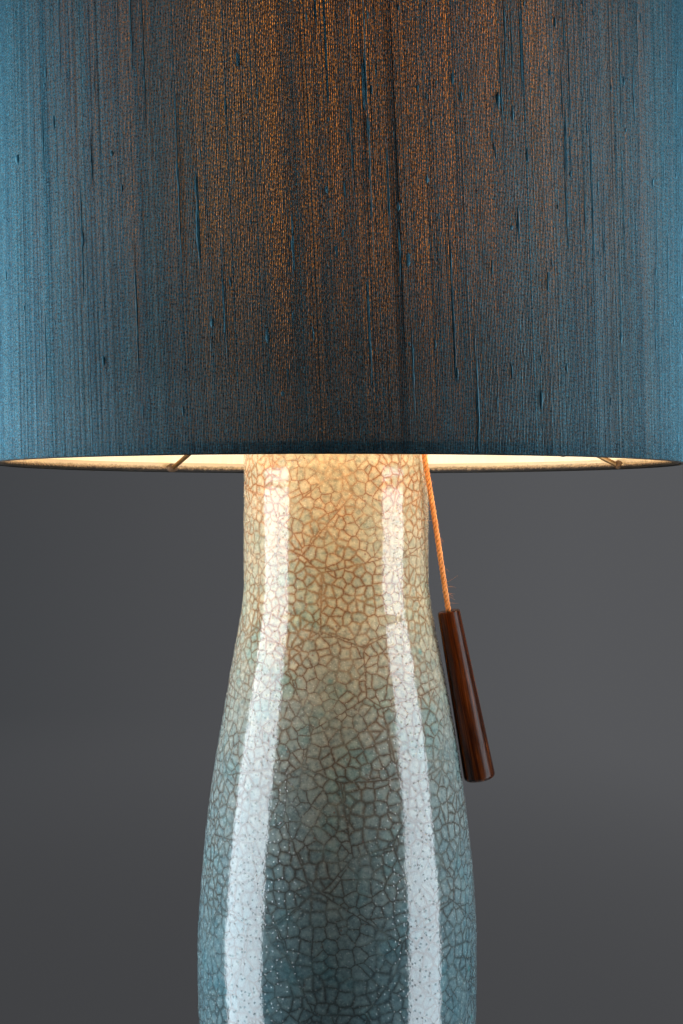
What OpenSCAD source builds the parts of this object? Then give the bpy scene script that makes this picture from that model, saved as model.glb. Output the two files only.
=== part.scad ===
// Table lamp with a crackle-glazed bottle-shaped body, a silk drum shade and a wooden cord pull.
// Millimetres, +Z up. The origin is the middle of the foot, on the surface that the lamp stands on.
// The pull cord hangs at the right (+X), a little towards the front (-Y).

/* [Ceramic body] */
// Height of the fired body, from its foot to the top of its neck
body_h = 467; // [420:1:510]
// Radius of the neck
neck_r = 54.2; // [48:0.1:60]
// Length of the straight neck, from the top down
neck_l = 84; // [70:1:100]
// Radius of the belly at its widest
belly_r = 81.7; // [74:0.1:90]
// Height of the lower end of the shoulder curve above the table
belly_z = 160; // [140:1:180]
// Radius of the foot
foot_r = 64; // [58:0.5:70]
// Thickness of the fired wall
body_wall = 6.5; // [5:0.1:8]
// Rounding of the lip at the top of the neck
lip_round = 8; // [6:0.1:10]
// Thickness of the closed top of the neck
deck_t = 7; // [6:0.1:9]
// Height of the hollow under the foot
foot_recess = 16; // [15:0.1:19]
// Thickness of the floor over that hollow
floor_t = 8; // [6:0.1:10]
// Width of the standing ring round that hollow
foot_ring_w = 9; // [8:0.1:11]
// Thickness of the felt pad under the foot
felt_t = 2; // [1.5:0.1:3]
// How far the felt stays in from the edge of the foot
felt_inset = 2; // [1:0.1:3]

/* [Cord outlet] */
// Height of the outlet hole above the table
outlet_z = 10; // [9.5:0.1:11]
// Radius of the outlet bore, for a round flex
outlet_r = 3.6; // [3:0.1:4]
// Wall of the outlet bushing
outlet_wall = 1.4; // [1:0.1:1.6]
// Radius of the bushing's flange
outlet_flange_r = 7; // [6.5:0.1:7.4]
// Thickness of the bushing's flange
outlet_flange_t = 2; // [1.5:0.1:2.5]

/* [Lamp pipe and its fixings] */
// Outer radius of the threaded lamp pipe
pipe_r = 5; // [4.8:0.1:5.2]
// Bore radius of the lamp pipe
pipe_bore_r = 4; // [3.6:0.1:4.1]
// Height of the pipe's lower end above the table
pipe_foot_z = 8; // [7:0.1:9]
// Across flats of the hexagon nuts
nut_af = 15; // [14:0.1:17]
// Height of a hexagon nut
nut_h = 5; // [4:0.1:5.5]
// Radius of the washer under the floor
washer_r = 17; // [14:0.5:20]
// Thickness of that washer
washer_t = 1.5; // [1:0.1:2]
// Outer radius of the brass cap on the neck
neck_cap_r = 30; // [26:0.5:36]
// Height of the neck cap
neck_cap_h = 4.5; // [4:0.1:7]
// Sheet thickness of the neck cap
neck_cap_t = 1.2; // [0.8:0.1:1.5]
// Thickness of the rubber ring under the neck cap
gasket_t = 1.5; // [1:0.1:2.5]
// Width of that rubber ring
gasket_w = 4; // [3:0.1:5]
// Height of the brass spacer under the lamp holder
spacer_h = 6; // [4:0.1:10]
// Outer radius of the spacer
spacer_r = 7.5; // [7:0.1:9]
// Radius of each of the two leads in the pipe
lead_r = 1; // [0.8:0.1:1.1]

/* [Lamp holder] */
// Outer radius of the holder's threaded shell
holder_r = 19.6; // [19:0.1:21]
// Wall of the holder's shell
holder_wall = 2; // [1.6:0.1:2.2]
// Height of the holder's lower cap
holder_cap_h = 13; // [12:0.1:15]
// Height of the straight neck of that cap
holder_neck_h = 6; // [5:0.1:7]
// Height of the holder's threaded shell
holder_shell_h = 44; // [43:0.1:50]
// Height of the porcelain insert
insert_h = 25; // [25:0.1:27]
// Inner radius of the screw shell that takes the bulb
screw_shell_r = 13.6; // [13.5:0.05:13.8]
// Sheet thickness of the screw shell
screw_shell_t = 0.6; // [0.4:0.1:0.8]
// Height of the screw shell
screw_shell_h = 23; // [20:0.1:24]
// Outer radius of the two shade rings
shade_nut_r = 27; // [25:0.1:29]
// Height of the upper shade ring
shade_nut_h = 5.3; // [4:0.1:7]
// Height of the lower shade ring
rest_ring_h = 3; // [2.5:0.1:4]
// Height of the fitter's seat above the foot of the holder shell
fitter_seat_h = 27; // [25:0.1:29]
// Distance of the two terminal screws from the lamp's axis
terminal_out = 11; // [10.5:0.1:11.5]
// Head radius of a terminal screw
terminal_r = 1.5; // [1.2:0.1:1.8]
// Radius of the set screw in the holder's cap
set_screw_r = 1.2; // [1:0.1:1.4]

/* [Pull switch] */
// Height of the cord guide above the neck's top
guide_h = 37; // [36.5:0.1:38]
// Outer radius of the guide tube
guide_r = 3; // [2.8:0.1:3.2]
// Bore radius of the guide tube
guide_bore_r = 2.1; // [2:0.05:2.2]
// Radius of the guide's mouth
mouth_r = 5; // [4.5:0.1:6]
// Bend radius of the guide, at the middle of the tube
guide_bend = 6; // [5:0.1:7]
// Distance of the guide's inner end from the lamp's axis
guide_start = 14.5; // [14.2:0.1:15]
// Length of the guide's flared mouth
mouth_l = 4; // [3:0.1:4.5]
// Thickness of the switch lever
lever_t = 3; // [2:0.1:3.4]
// Lever length, from its pin to the cord
lever_arm = 11; // [10:0.1:11.5]
// Radius of the lever's round ends
lever_end_r = 2.4; // [2.2:0.1:2.6]
// Lean of the lever at rest, in from the upright
lever_rest = 20; // [18:0.5:22]
// Distance of the lever's pin from the lamp's axis
lever_pin_out = 5; // [4.6:0.1:5.4]
// Radius of the lever's pin
lever_pin_r = 1.2; // [1:0.05:1.4]
// Length of the lever's pin
lever_pin_l = 13; // [10:0.5:15]
// Width of the slot that the lever turns in
slot_w = 5; // [4.6:0.1:6]
// Wire radius of the return spring
spring_wire_r = 0.3; // [0.2:0.05:0.4]
// Radius of the return spring, at the middle of its wire
spring_r = 2.6; // [2.4:0.1:2.8]
// Turns of the return spring
spring_turns = 5; // [4:1:6]

/* [Pull cord and wooden pull] */
// Diameter of the twisted pull cord
cord_d = 3.3; // [2.8:0.1:3.6]
// Length of the wooden pull, with its domed end
pull_l = 101; // [90:0.5:110]
// Radius of the pull at its top
pull_top_r = 6.5; // [6:0.1:7.5]
// Radius of the pull at its lower end
pull_end_r = 9.1; // [8:0.1:9.8]
// Height of the soft dome at its lower end
pull_dome = 3; // [2:0.1:4]
// Play of the cord in the bore of the pull
pull_bore_play = 0.25; // [0.15:0.05:0.4]
// Radius of the recess for the knot
knot_recess_r = 5; // [4.6:0.1:5.4]
// Depth of that recess
knot_recess_l = 14; // [12:0.1:16]
// Least gap between the hanging pull and the flank of the body
lean_gap = 1; // [0.5:0.1:2]

/* [Bulb] */
// Radius of the bulb's glass globe
globe_r = 30; // [27:0.5:33]
// Length of the bulb, from its contact to the top of its glass
bulb_l = 105; // [100:0.5:112]
// Radius of the bulb's screw base
bulb_base_r = 13.1; // [12.9:0.05:13.2]
// Height of the bulb's screw base
bulb_base_l = 21; // [19:0.5:23]
// Radius of the glass where it goes into the base
bulb_neck_r = 11.5; // [11:0.1:11.6]
// Wall of the bulb's glass
glass_t = 0.8; // [0.6:0.1:1.2]

/* [Shade] */
// Outer diameter of the drum shade
shade_d = 400; // [360:1:440]
// Height of the drum shade
shade_h = 305; // [270:1:340]
// How far the shade's rim hangs below the top of the neck
neck_cover = 14; // [10:0.5:20]
// Thickness of the silk
silk_t = 0.5; // [0.4:0.1:0.8]
// Thickness of the stiff liner behind it
liner_t = 0.8; // [0.6:0.1:1.2]
// Height of the turned-in hems
hem_h = 6; // [5:0.1:9]
// Thickness of the hem tape
hem_t = 0.5; // [0.4:0.1:0.8]
// Wire radius of the shade's rings and arms
wire_r = 1.5; // [1.2:0.1:1.8]
// Outer radius of the fitter ring
fitter_ring_r = 31; // [30:0.5:34]
// Thickness of the fitter ring
fitter_ring_t = 1.5; // [1.2:0.1:2]
// Width of the glued seam of the liner
seam_w = 11; // [8:0.5:15]

/* [Hidden] */
$fn = 96;

// Clearances
slip = 0.1;      // a thread or a pipe in its hole, all round
running = 0.05;  // a pin in a piece that turns on it
parting = 0.3;   // between pieces that move past each other
through = 1;     // how far a cutting shape reaches past the face it cuts

// Heights, from the table up
foot_z = felt_t;
top_z = foot_z + body_h;
rim_z = top_z - neck_cover;
recess_top = foot_z + foot_recess;
cavity_z = recess_top + floor_t;
deck_z = top_z - deck_t;
cap_z = top_z + gasket_t;
lock_z = cap_z + neck_cap_h;
spacer_z = lock_z + nut_h;
holder_z = spacer_z + spacer_h;
shell_z = holder_z + holder_cap_h;
insert_z = holder_z + holder_neck_h + neck_cap_t;
insert_top = insert_z + insert_h;
seat_z = shell_z + fitter_seat_h;
pipe_top = holder_z + holder_neck_h - through;

// The body's outline, radius and height, drawn from the foot to the lip
foot_pull_h = 75;     // how far the belly's upright reaches down the curve
foot_pull_r = 72;     // radius that the curve heads for above the foot
foot_pull_z = 40;     // height of that point
shoulder_pull = 110;  // how far the belly's upright reaches up the curve
neck_pull = 24;       // how far the neck's upright reaches down the curve
curve_steps = 18;
lip_steps = 6;

function mix4(a, b, c, d, t) =
    pow(1 - t, 3) * a + 3 * pow(1 - t, 2) * t * b + 3 * (1 - t) * t * t * c + pow(t, 3) * d;

function foot_curve(inset) = [
    for (i = [0 : curve_steps])
        mix4([foot_r - inset, foot_z], [foot_pull_r - inset, foot_pull_z],
             [belly_r - inset, belly_z - foot_pull_h], [belly_r - inset, belly_z], i / curve_steps)
];

function shoulder_curve(inset) = [
    for (i = [1 : curve_steps])
        mix4([belly_r - inset, belly_z], [belly_r - inset, belly_z + shoulder_pull],
             [neck_r - inset, top_z - neck_l - neck_pull], [neck_r - inset, top_z - neck_l], i / curve_steps)
];

function lip_curve() = [
    for (i = [0 : lip_steps])
        let (turn = 90 * i / lip_steps)
        [neck_r - lip_round + lip_round * cos(turn), top_z - lip_round + lip_round * sin(turn)]
];

outline = concat(foot_curve(0), shoulder_curve(0), lip_curve());
cavity = concat(
    [for (p = foot_curve(body_wall)) if (p[1] > cavity_z) p],
    shoulder_curve(body_wall)
);

// Radius of the body at a height
function body_r_at(z) = lookup(z, [for (p = outline) [p[1], p[0]]]);

// Vectors
function unit(v) = v / norm(v);
function square_to(v, t) = unit(v - (v * t) * t);

// The free pull cord, from the guide's mouth to the top of the pull.
// Each point is chosen by hand: across from the neck's side, forward, and up from the neck's top.
cord_points = [
    [-9.5, -31.5, 20], [-8.4, -30.4, 13], [-7.3, -29.3, 6], [-6.1, -28.2, -1], [-4.8, -27.1, -8.5],
    [-3.4, -25.9, -16], [-2.1, -24.7, -24], [-0.7, -23.4, -32], [0.7, -22.1, -40], [2.1, -20.8, -48.5],
    [3.5, -19.4, -57], [4.9, -18.1, -66], [6.3, -16.7, -75], [7.7, -15.2, -84], [9.2, -13.6, -93.5],
    [10.1, -12.9, -99]
];
cord_route = [for (p = cord_points) [neck_r + p[0], p[1], top_z + p[2]]];
cord_exit = cord_route[0];
pull_top = cord_route[len(cord_route) - 1];
cord_dir = unit(cord_route[1] - cord_exit);
cord_sides = 8;

// The pull leans towards the flank, which it would touch at lean_z
lean_drop = 174;       // from the top of the neck down to that height
lean_z = top_z - lean_drop;
lean_y = -8;
lean_pull_r = pull_top_r + (pull_end_r - pull_top_r) * (pull_top[2] - lean_z) / pull_l;
lean_r = body_r_at(lean_z) + lean_pull_r + lean_gap;
lean_point = [sqrt(lean_r * lean_r - lean_y * lean_y), lean_y, lean_z];
pull_dir = unit(lean_point - pull_top);

// The guide runs level out of the holder, then turns down along the cord
guide_z = top_z + guide_h;
guide_corner = cord_exit + cord_dir * (guide_z - cord_exit[2]) / cord_dir[2];
guide_out = unit([guide_corner[0], guide_corner[1], 0]);
guide_side = unit(cross(guide_out, cord_dir));
guide_turn = acos(guide_out * cord_dir);
guide_reach = norm([guide_corner[0], guide_corner[1]]);
guide_tangent = guide_bend * tan(guide_turn / 2);
guide_azimuth = atan2(guide_out[1], guide_out[0]);
bend_steps = 6;

// The lever, drawn in the guide's own plane: out from the axis, and up
lever_pin_z = guide_z - lever_arm * cos(lever_rest);
lever_tip_out = lever_pin_out - lever_arm * sin(lever_rest);
lever_waist = 3.2;     // width of the lever between its ends
slot_low = lever_pin_z - lever_end_r - parting;
slot_top = guide_z + mouth_r + through;

// Bulb, standing on the sprung contact
contact_h = 3;         // height of the sprung contact
contact_t = 0.5;       // thickness of its strip
contact_w = 5;         // width of its strip
button_h = 3.7;        // height of the bulb's own contact
bulb_z = insert_top + contact_h;
bulb_base_z = bulb_z + 3;
bulb_neck_z = bulb_base_z + bulb_base_l;
bulb_neck_in = 4;      // how far the glass goes down into the base
globe_z = bulb_z + bulb_l - globe_r;

// Shade
shade_r = shade_d / 2;
liner_r = shade_r - silk_t;
shade_in_r = liner_r - liner_t;
ring_r = shade_in_r - hem_t - wire_r;
bottom_ring_z = rim_z + wire_r;
top_ring_z = rim_z + shade_h - wire_r;
fitter_z = seat_z + slip;
nut_over_fitter_z = fitter_z + fitter_ring_t + slip;
arm_azimuths = [25, 125, 205, 305];
seam_azimuth = -82;

// Colours
glaze = [0.56, 0.72, 0.70];
brass = [0.72, 0.56, 0.28];
steel = [0.62, 0.63, 0.65];
porcelain = [0.90, 0.89, 0.85];
silk_blue = [0.16, 0.30, 0.36];
cream = [0.96, 0.91, 0.80];
rosewood = [0.27, 0.11, 0.05];
cord_orange = [0.82, 0.45, 0.18];
dark = [0.13, 0.12, 0.12];

// A shape drawn along +Z, put at a point and turned to a direction
module along(p, dir) {
    translate(p)
        rotate([0, acos(dir[2]), atan2(dir[1], dir[0])])
            children();
}

// A shape drawn in a plane, put at a point: x along a, y along b
module in_plane(p, a, b) {
    c = cross(a, b);
    multmatrix([
        [a[0], b[0], c[0], p[0]],
        [a[1], b[1], c[1], p[1]],
        [a[2], b[2], c[2], p[2]],
        [0, 0, 0, 1]
    ])
        children();
}

// A shape drawn with +X out of the holder, turned to the guide's azimuth
module at_guide(z) {
    translate([0, 0, z])
        rotate([0, 0, guide_azimuth])
            children();
}

// A ring of square section
module band(r_in, r_out, h) {
    rotate_extrude()
        translate([r_in, 0])
            square([r_out - r_in, h]);
}

// A round wire bent into a ring
module wire_ring(r, wire) {
    rotate_extrude()
        translate([r, 0])
            circle(r = wire, $fn = 24);
}

module hex_nut(af, h, hole_r) {
    difference() {
        cylinder(r = af / 2 / cos(30), h = h, $fn = 6);
        translate([0, 0, -through])
            cylinder(r = hole_r, h = h + 2 * through);
    }
}

// A tube swept along a path, with square ends
function path_tangent(path, i) = unit(path[min(i + 1, len(path) - 1)] - path[max(i - 1, 0)]);

function carried(path, start, i = 0, done = []) =
    i == len(path) ? done :
    let (side = square_to(i == 0 ? start : done[i - 1], path_tangent(path, i)))
    carried(path, start, i + 1, concat(done, [side]));

module swept_tube(path, r, sides) {
    sideways = carried(path, abs(path_tangent(path, 0)[0]) < 0.9 ? [1, 0, 0] : [0, 1, 0]);
    last = (len(path) - 1) * sides;
    points = [
        for (i = [0 : len(path) - 1])
            let (a = sideways[i], b = cross(path_tangent(path, i), a))
            for (k = [0 : sides - 1])
                path[i] + r * (cos(360 * k / sides) * a + sin(360 * k / sides) * b)
    ];
    walls = [
        for (i = [0 : len(path) - 2], k = [0 : sides - 1])
            let (p = i * sides + k, q = i * sides + (k + 1) % sides)
            each [[p, p + sides, q + sides], [p, q + sides, q]]
    ];
    near_end = [for (k = [1 : sides - 2]) [0, k, k + 1]];
    far_end = [for (k = [1 : sides - 2]) [last, last + k + 1, last + k]];
    polyhedron(points = points, faces = concat(walls, near_end, far_end), convexity = 10);
}

// The fired and glazed body: one hollow bottle with a recessed foot
module ceramic_body() {
    color(glaze)
    difference() {
        rotate_extrude()
            polygon(concat([[0, foot_z]], outline, [[0, top_z]]));
        rotate_extrude()
            polygon(concat(
                [[0, cavity_z], [body_r_at(cavity_z) - body_wall, cavity_z]],
                cavity,
                [[neck_r - body_wall, deck_z], [0, deck_z]]
            ));
        translate([0, 0, foot_z - through])
            cylinder(r = foot_r - foot_ring_w, h = foot_recess + through);
        translate([0, 0, foot_z])
            cylinder(r = pipe_r + slip, h = body_h + through);
        outlet_cut(outlet_r + outlet_wall + slip, 0, body_r_at(outlet_z) + through);
        outlet_cut(outlet_flange_r + slip, outlet_seat, body_r_at(outlet_z) + through);
    }
}

// The flange of the outlet bushing sits on a flat spot that is cut into the curved wall
outlet_seat = body_r_at(outlet_z - outlet_flange_r) - outlet_flange_t / 2;

module outlet_cut(r, from, to) {
    translate([0, from, outlet_z])
        rotate([-90, 0, 0])
            cylinder(r = r, h = to - from);
}

module foot_felt() {
    color("darkolivegreen")
        cylinder(r = foot_r - felt_inset, h = felt_t);
}

// Bushing that a flex leaves the foot through
module cord_outlet_bushing() {
    inner_y = foot_r - foot_ring_w - through;
    color(dark)
    difference() {
        union() {
            outlet_cut(outlet_r + outlet_wall, inner_y, outlet_seat + through);
            outlet_cut(outlet_flange_r, outlet_seat, outlet_seat + outlet_flange_t);
        }
        outlet_cut(outlet_r, inner_y - through, outlet_seat + outlet_flange_t + through);
    }
}

module bottom_washer() {
    color(steel)
    translate([0, 0, recess_top - washer_t])
        band(pipe_r + slip, washer_r, washer_t);
}

module bottom_nut() {
    color(steel)
    translate([0, 0, recess_top - washer_t - nut_h])
        hex_nut(nut_af, nut_h, pipe_r);
}

module lamp_pipe() {
    color(steel)
    translate([0, 0, pipe_foot_z])
        band(pipe_bore_r, pipe_r, pipe_top - pipe_foot_z);
}

module neck_gasket() {
    color(dark)
    translate([0, 0, top_z])
        band(neck_cap_r - gasket_w, neck_cap_r - neck_cap_t / 2, gasket_t);
}

// Turned brass cap that closes the neck: a shallow dish, upside down
cap_flat = 0.5;    // share of its radius that is flat on top
cap_brow = 0.85;   // share of its radius where the edge turns down
module neck_cap() {
    brow_z = neck_cap_h - neck_cap_t;
    flat_r = neck_cap_r * cap_flat;
    brow_r = neck_cap_r * cap_brow;
    color(brass)
    translate([0, 0, cap_z])
        rotate_extrude()
            polygon([
                [pipe_r + slip, neck_cap_h], [flat_r, neck_cap_h], [brow_r, brow_z],
                [neck_cap_r, neck_cap_t], [neck_cap_r, 0], [neck_cap_r - neck_cap_t * 2, 0],
                [brow_r - neck_cap_t, brow_z - neck_cap_t], [flat_r, brow_z], [pipe_r + slip, brow_z]
            ]);
}

module neck_lock_nut() {
    color(brass)
    translate([0, 0, lock_z])
        hex_nut(nut_af, nut_h, pipe_r);
}

module holder_spacer() {
    color(brass)
    translate([0, 0, spacer_z])
        band(pipe_r + slip, spacer_r, spacer_h);
}

// The two leads, from the outlet through the pipe to the terminals
lead_out = 1.7;    // from the pipe's axis to a lead's
lead_lift = 1.4;   // height of the leads over the felt
// Their bend under the floor, chosen by hand: back from the axis, and up from its lowest point
lead_bend = [[42, 4.6], [25, 1.1], [10, 0], [3, 0.3], [0, 3]];
module lead_wires() {
    low_z = foot_z + lead_r + lead_lift;
    route = concat(
        [[foot_r - foot_ring_w - through, outlet_z]],
        [for (p = lead_bend) [p[0], low_z + p[1]]],
        [[0, (low_z + pipe_top) / 2], [0, insert_z - through]]
    );
    color(dark)
    for (side = [-1, 1])
        swept_tube([for (p = route) [side * lead_out, p[0], p[1]]], lead_r, cord_sides);
}

// Lower brass cap of the lamp holder: a neck that screws on the pipe, and a flared cup
cap_skirt = 3;           // height of the cup's upright edge
cap_inner_skirt = 2.4;   // the same, on its inside
module holder_cap() {
    in_r = holder_r - holder_wall;
    color(brass)
    difference() {
        translate([0, 0, holder_z])
            rotate_extrude()
                polygon([
                    [0, 0], [spacer_r, 0], [spacer_r, holder_neck_h - neck_cap_t],
                    [holder_r, holder_cap_h - cap_skirt], [holder_r, holder_cap_h],
                    [in_r, holder_cap_h], [in_r, holder_cap_h - cap_inner_skirt],
                    [spacer_r, holder_neck_h + neck_cap_t], [0, holder_neck_h + neck_cap_t]
                ]);
        translate([0, 0, holder_z - through])
            cylinder(r = pipe_r, h = holder_cap_h);
        translate([0, 0, holder_z + holder_neck_h / 2])
            rotate([90, 0, 180])
                cylinder(r = set_screw_r, h = spacer_r + through);
    }
}

// Grub screw that locks the holder on the pipe, with its screwdriver slot
driver_slot_w = 0.5;
driver_slot_l = 0.6;
module holder_set_screw() {
    screw_l = spacer_r - pipe_r + driver_slot_l;
    color(steel)
    translate([0, pipe_r, holder_z + holder_neck_h / 2])
        rotate([-90, 0, 0])
            difference() {
                cylinder(r = set_screw_r, h = screw_l);
                translate([-set_screw_r - through, -driver_slot_w / 2, screw_l - driver_slot_l])
                    cube([2 * set_screw_r + 2 * through, driver_slot_w, through]);
            }
}

// Porcelain insert that carries the contacts and the switch
insert_r = holder_r - holder_wall - parting;
insert_cone_h = holder_cap_h - cap_inner_skirt - holder_neck_h - neck_cap_t + parting + slip;
insert_edge = 1;      // bevel of its upper edge
terminal_l = 2;       // depth of a terminal screw in the porcelain
slot_in = 3;          // how far the lever's slot reaches past the lever, inwards
module holder_insert() {
    color(porcelain)
    difference() {
        translate([0, 0, insert_z])
            rotate_extrude()
                polygon([
                    [0, 0], [spacer_r, 0], [insert_r, insert_cone_h],
                    [insert_r, insert_h - insert_edge], [insert_r - insert_edge, insert_h], [0, insert_h]
                ]);
        at_guide(slot_low)
            translate([-lever_end_r - slot_in, -slot_w / 2, 0])
                cube([insert_r + lever_end_r + slot_in + through, slot_w, slot_top - slot_low]);
        at_guide(guide_z)
            rotate([0, 90, 0])
                cylinder(r = guide_flange_r + slip, h = insert_r + through);
        at_guide(lever_pin_z)
            translate([lever_pin_out, lever_pin_l / 2, 0])
                rotate([90, 0, 0])
                    cylinder(r = lever_pin_r, h = lever_pin_l);
        for (side = [-1, 1])
            translate([0, side * terminal_out, insert_top - terminal_l])
                cylinder(r = terminal_r, h = terminal_l + through);
    }
}

// Terminal screws, each with its head a slot's depth above the porcelain
module terminal_screws() {
    color(brass)
    for (side = [-1, 1])
        translate([0, side * terminal_out, insert_top - terminal_l])
            difference() {
                cylinder(r = terminal_r, h = terminal_l + driver_slot_l);
                translate([-terminal_r - through, -driver_slot_w / 2, terminal_l])
                    cube([2 * terminal_r + 2 * through, driver_slot_w, through]);
            }
}

// Threaded sheet-brass sleeve that the bulb screws into
screw_pitch = 3.6;
screw_rib_h = 1.4;
terminal_relief = 3;   // radius and height of its cut-outs over the terminal screws
module screw_shell() {
    rib_r = screw_shell_r + 2 * screw_shell_t;
    color(brass)
    translate([0, 0, insert_top])
        difference() {
            union() {
                band(screw_shell_r, screw_shell_r + screw_shell_t, screw_shell_h);
                for (z = [terminal_relief : screw_pitch : screw_shell_h - screw_rib_h])
                    translate([0, 0, z])
                        band(screw_shell_r + screw_shell_t / 2, rib_r, screw_rib_h);
            }
            for (side = [-1, 1])
                translate([0, side * terminal_out, -through])
                    cylinder(r = terminal_relief, h = terminal_relief + through);
        }
}

// Sprung contact under the bulb: one strip, folded back over itself
contact_foot_l = 11;
contact_tongue_l = 7;
module centre_contact() {
    fold_x = contact_h;
    color(brass)
    translate([fold_x, -contact_w / 2, insert_top]) {
        translate([-contact_foot_l, 0, 0])
            cube([contact_foot_l, contact_w, contact_t]);
        translate([-contact_t, 0, 0])
            cube([contact_t, contact_w, contact_h]);
        translate([-contact_tongue_l, 0, contact_h - contact_t])
            cube([contact_tongue_l, contact_w, contact_t]);
    }
}

// Outer shell of the lamp holder, with a thread for the shade rings
module holder_shell() {
    color(brass)
    difference() {
        translate([0, 0, shell_z])
            band(holder_r - holder_wall, holder_r, holder_shell_h);
        at_guide(guide_z)
            rotate([0, 90, 0])
                cylinder(r = guide_r + slip, h = holder_r + through);
    }
}

// A ring with finger notches round its edge
notch_r = 1.2;
notches = 24;
module ring_grip(r, h) {
    difference() {
        band(holder_r + slip, r, h);
        for (i = [1 : notches])
            rotate([0, 0, i * 360 / notches])
                translate([r + notch_r / 2, 0, -through])
                    cylinder(r = notch_r, h = h + 2 * through, $fn = 16);
    }
}

module shade_rest_ring() {
    color(brass)
    translate([0, 0, seat_z - rest_ring_h])
        band(holder_r + slip, shade_nut_r, rest_ring_h);
}

module shade_ring_nut() {
    color(brass)
    translate([0, 0, nut_over_fitter_z])
        ring_grip(shade_nut_r, shade_nut_h);
}

// Brass tube that carries the cord level out of the holder
guide_flange_r = guide_r + 1;
guide_flange_t = 1.2;
elbow_r = guide_r + 0.5;
elbow_start = guide_corner - guide_out * guide_tangent;
elbow_down = cross(guide_side, guide_out);
mouth_start = guide_corner + cord_dir * guide_tangent;
module cord_guide() {
    level_l = guide_reach - guide_tangent - guide_start;
    color(brass)
    at_guide(guide_z)
        translate([guide_start, 0, 0])
            rotate([0, 90, 0])
                difference() {
                    union() {
                        cylinder(r = guide_r, h = level_l);
                        cylinder(r = guide_flange_r, h = guide_flange_t);
                    }
                    translate([0, 0, -through])
                        cylinder(r = guide_bore_r, h = level_l + 2 * through);
                }
}

// Elbow that turns the cord down past the edge of the neck
module guide_elbow() {
    color(brass)
    in_plane(elbow_start, guide_out, elbow_down)
        translate([0, guide_bend, 0])
            rotate([0, 0, -90])
                rotate_extrude(angle = guide_turn)
                    translate([guide_bend, 0])
                        difference() {
                            circle(r = elbow_r, $fn = 32);
                            circle(r = guide_bore_r, $fn = 32);
                        }
}

// Flared mouth under the elbow
module guide_mouth() {
    drop_l = norm(cord_exit - mouth_start);
    lip = guide_r - guide_bore_r;
    color(brass)
    along(mouth_start, cord_dir)
        rotate_extrude()
            polygon([
                [guide_bore_r, 0], [guide_r, 0], [guide_r, drop_l - mouth_l], [mouth_r, drop_l - lip],
                [mouth_r, drop_l], [mouth_r - lip, drop_l], [guide_bore_r, drop_l - mouth_l + lip]
            ]);
}

guide_nut_af = 10;
guide_nut_h = 3.5;
module guide_nut() {
    color(brass)
    at_guide(guide_z)
        translate([holder_r + slip, 0, 0])
            rotate([0, 90, 0])
                hex_nut(guide_nut_af, guide_nut_h, guide_r);
}

// Lever that the cord pulls, drawn upright in the guide's plane and leaned in to rest
module switch_lever() {
    color(steel)
    at_guide(lever_pin_z)
        translate([lever_pin_out, lever_t / 2, 0])
            rotate([90, -lever_rest, 0])
                linear_extrude(lever_t)
                    difference() {
                        union() {
                            circle(r = lever_end_r, $fn = 48);
                            translate([0, lever_arm])
                                circle(r = lever_end_r, $fn = 48);
                            translate([-lever_waist / 2, 0])
                                square([lever_waist, lever_arm]);
                        }
                        circle(r = lever_pin_r + running, $fn = 48);
                    }
}

module lever_pin() {
    color(steel)
    at_guide(lever_pin_z)
        translate([lever_pin_out, lever_pin_l / 2, 0])
            rotate([90, 0, 0])
                cylinder(r = lever_pin_r, h = lever_pin_l);
}

// Compression spring round the cord, between the lever and the guide
spring_gap = 0.5;
spring_start = lever_tip_out + lever_end_r + spring_gap;
spring_end = guide_start - spring_gap;
spring_rings = 8;
module return_spring() {
    count = spring_turns * spring_rings;
    rise = (spring_end - spring_start) / count;
    color(steel)
    at_guide(guide_z)
        swept_tube([
            for (i = [0 : count])
                let (turn = 360 * i / spring_rings)
                [spring_start + rise * i, spring_r * cos(turn), spring_r * sin(turn)]
        ], spring_wire_r, 6);
}

// The stretch of cord inside the holder and the guide
cord_start = lever_tip_out + lever_end_r + slip;
module guide_cord() {
    first = guide_out * cord_start + [0, 0, guide_z];
    level_steps = 5;
    path = concat(
        [for (i = [0 : level_steps]) first + (elbow_start - first) * i / level_steps],
        [for (i = [1 : bend_steps])
            let (turn = guide_turn * i / bend_steps)
            elbow_start + guide_out * guide_bend * sin(turn) + elbow_down * guide_bend * (1 - cos(turn))],
        [(mouth_start + cord_exit) / 2, cord_exit]
    );
    color(cord_orange)
        swept_tube(path, cord_d / 2, cord_sides);
}

// The free stretch of the cord
module pull_cord() {
    color(cord_orange)
        swept_tube(cord_route, cord_d / 2, cord_sides);
}

// The tail of the cord inside the pull, with the knot that the pull hangs on
knot_r = 0.95 * cord_d;
knot_end_r = 0.7 * cord_d;
module cord_knot() {
    knot_z = pull_l - knot_recess_l + knot_r;
    color(cord_orange)
    along(pull_top, pull_dir) {
        translate([0, 0, slip])
            cylinder(r = cord_d / 2, h = knot_z + 2 * cord_d);
        translate([0, 0, knot_z])
            sphere(r = knot_r, $fn = 32);
        translate([0, 0, knot_z + cord_d])
            sphere(r = knot_end_r, $fn = 32);
    }
}

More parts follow.
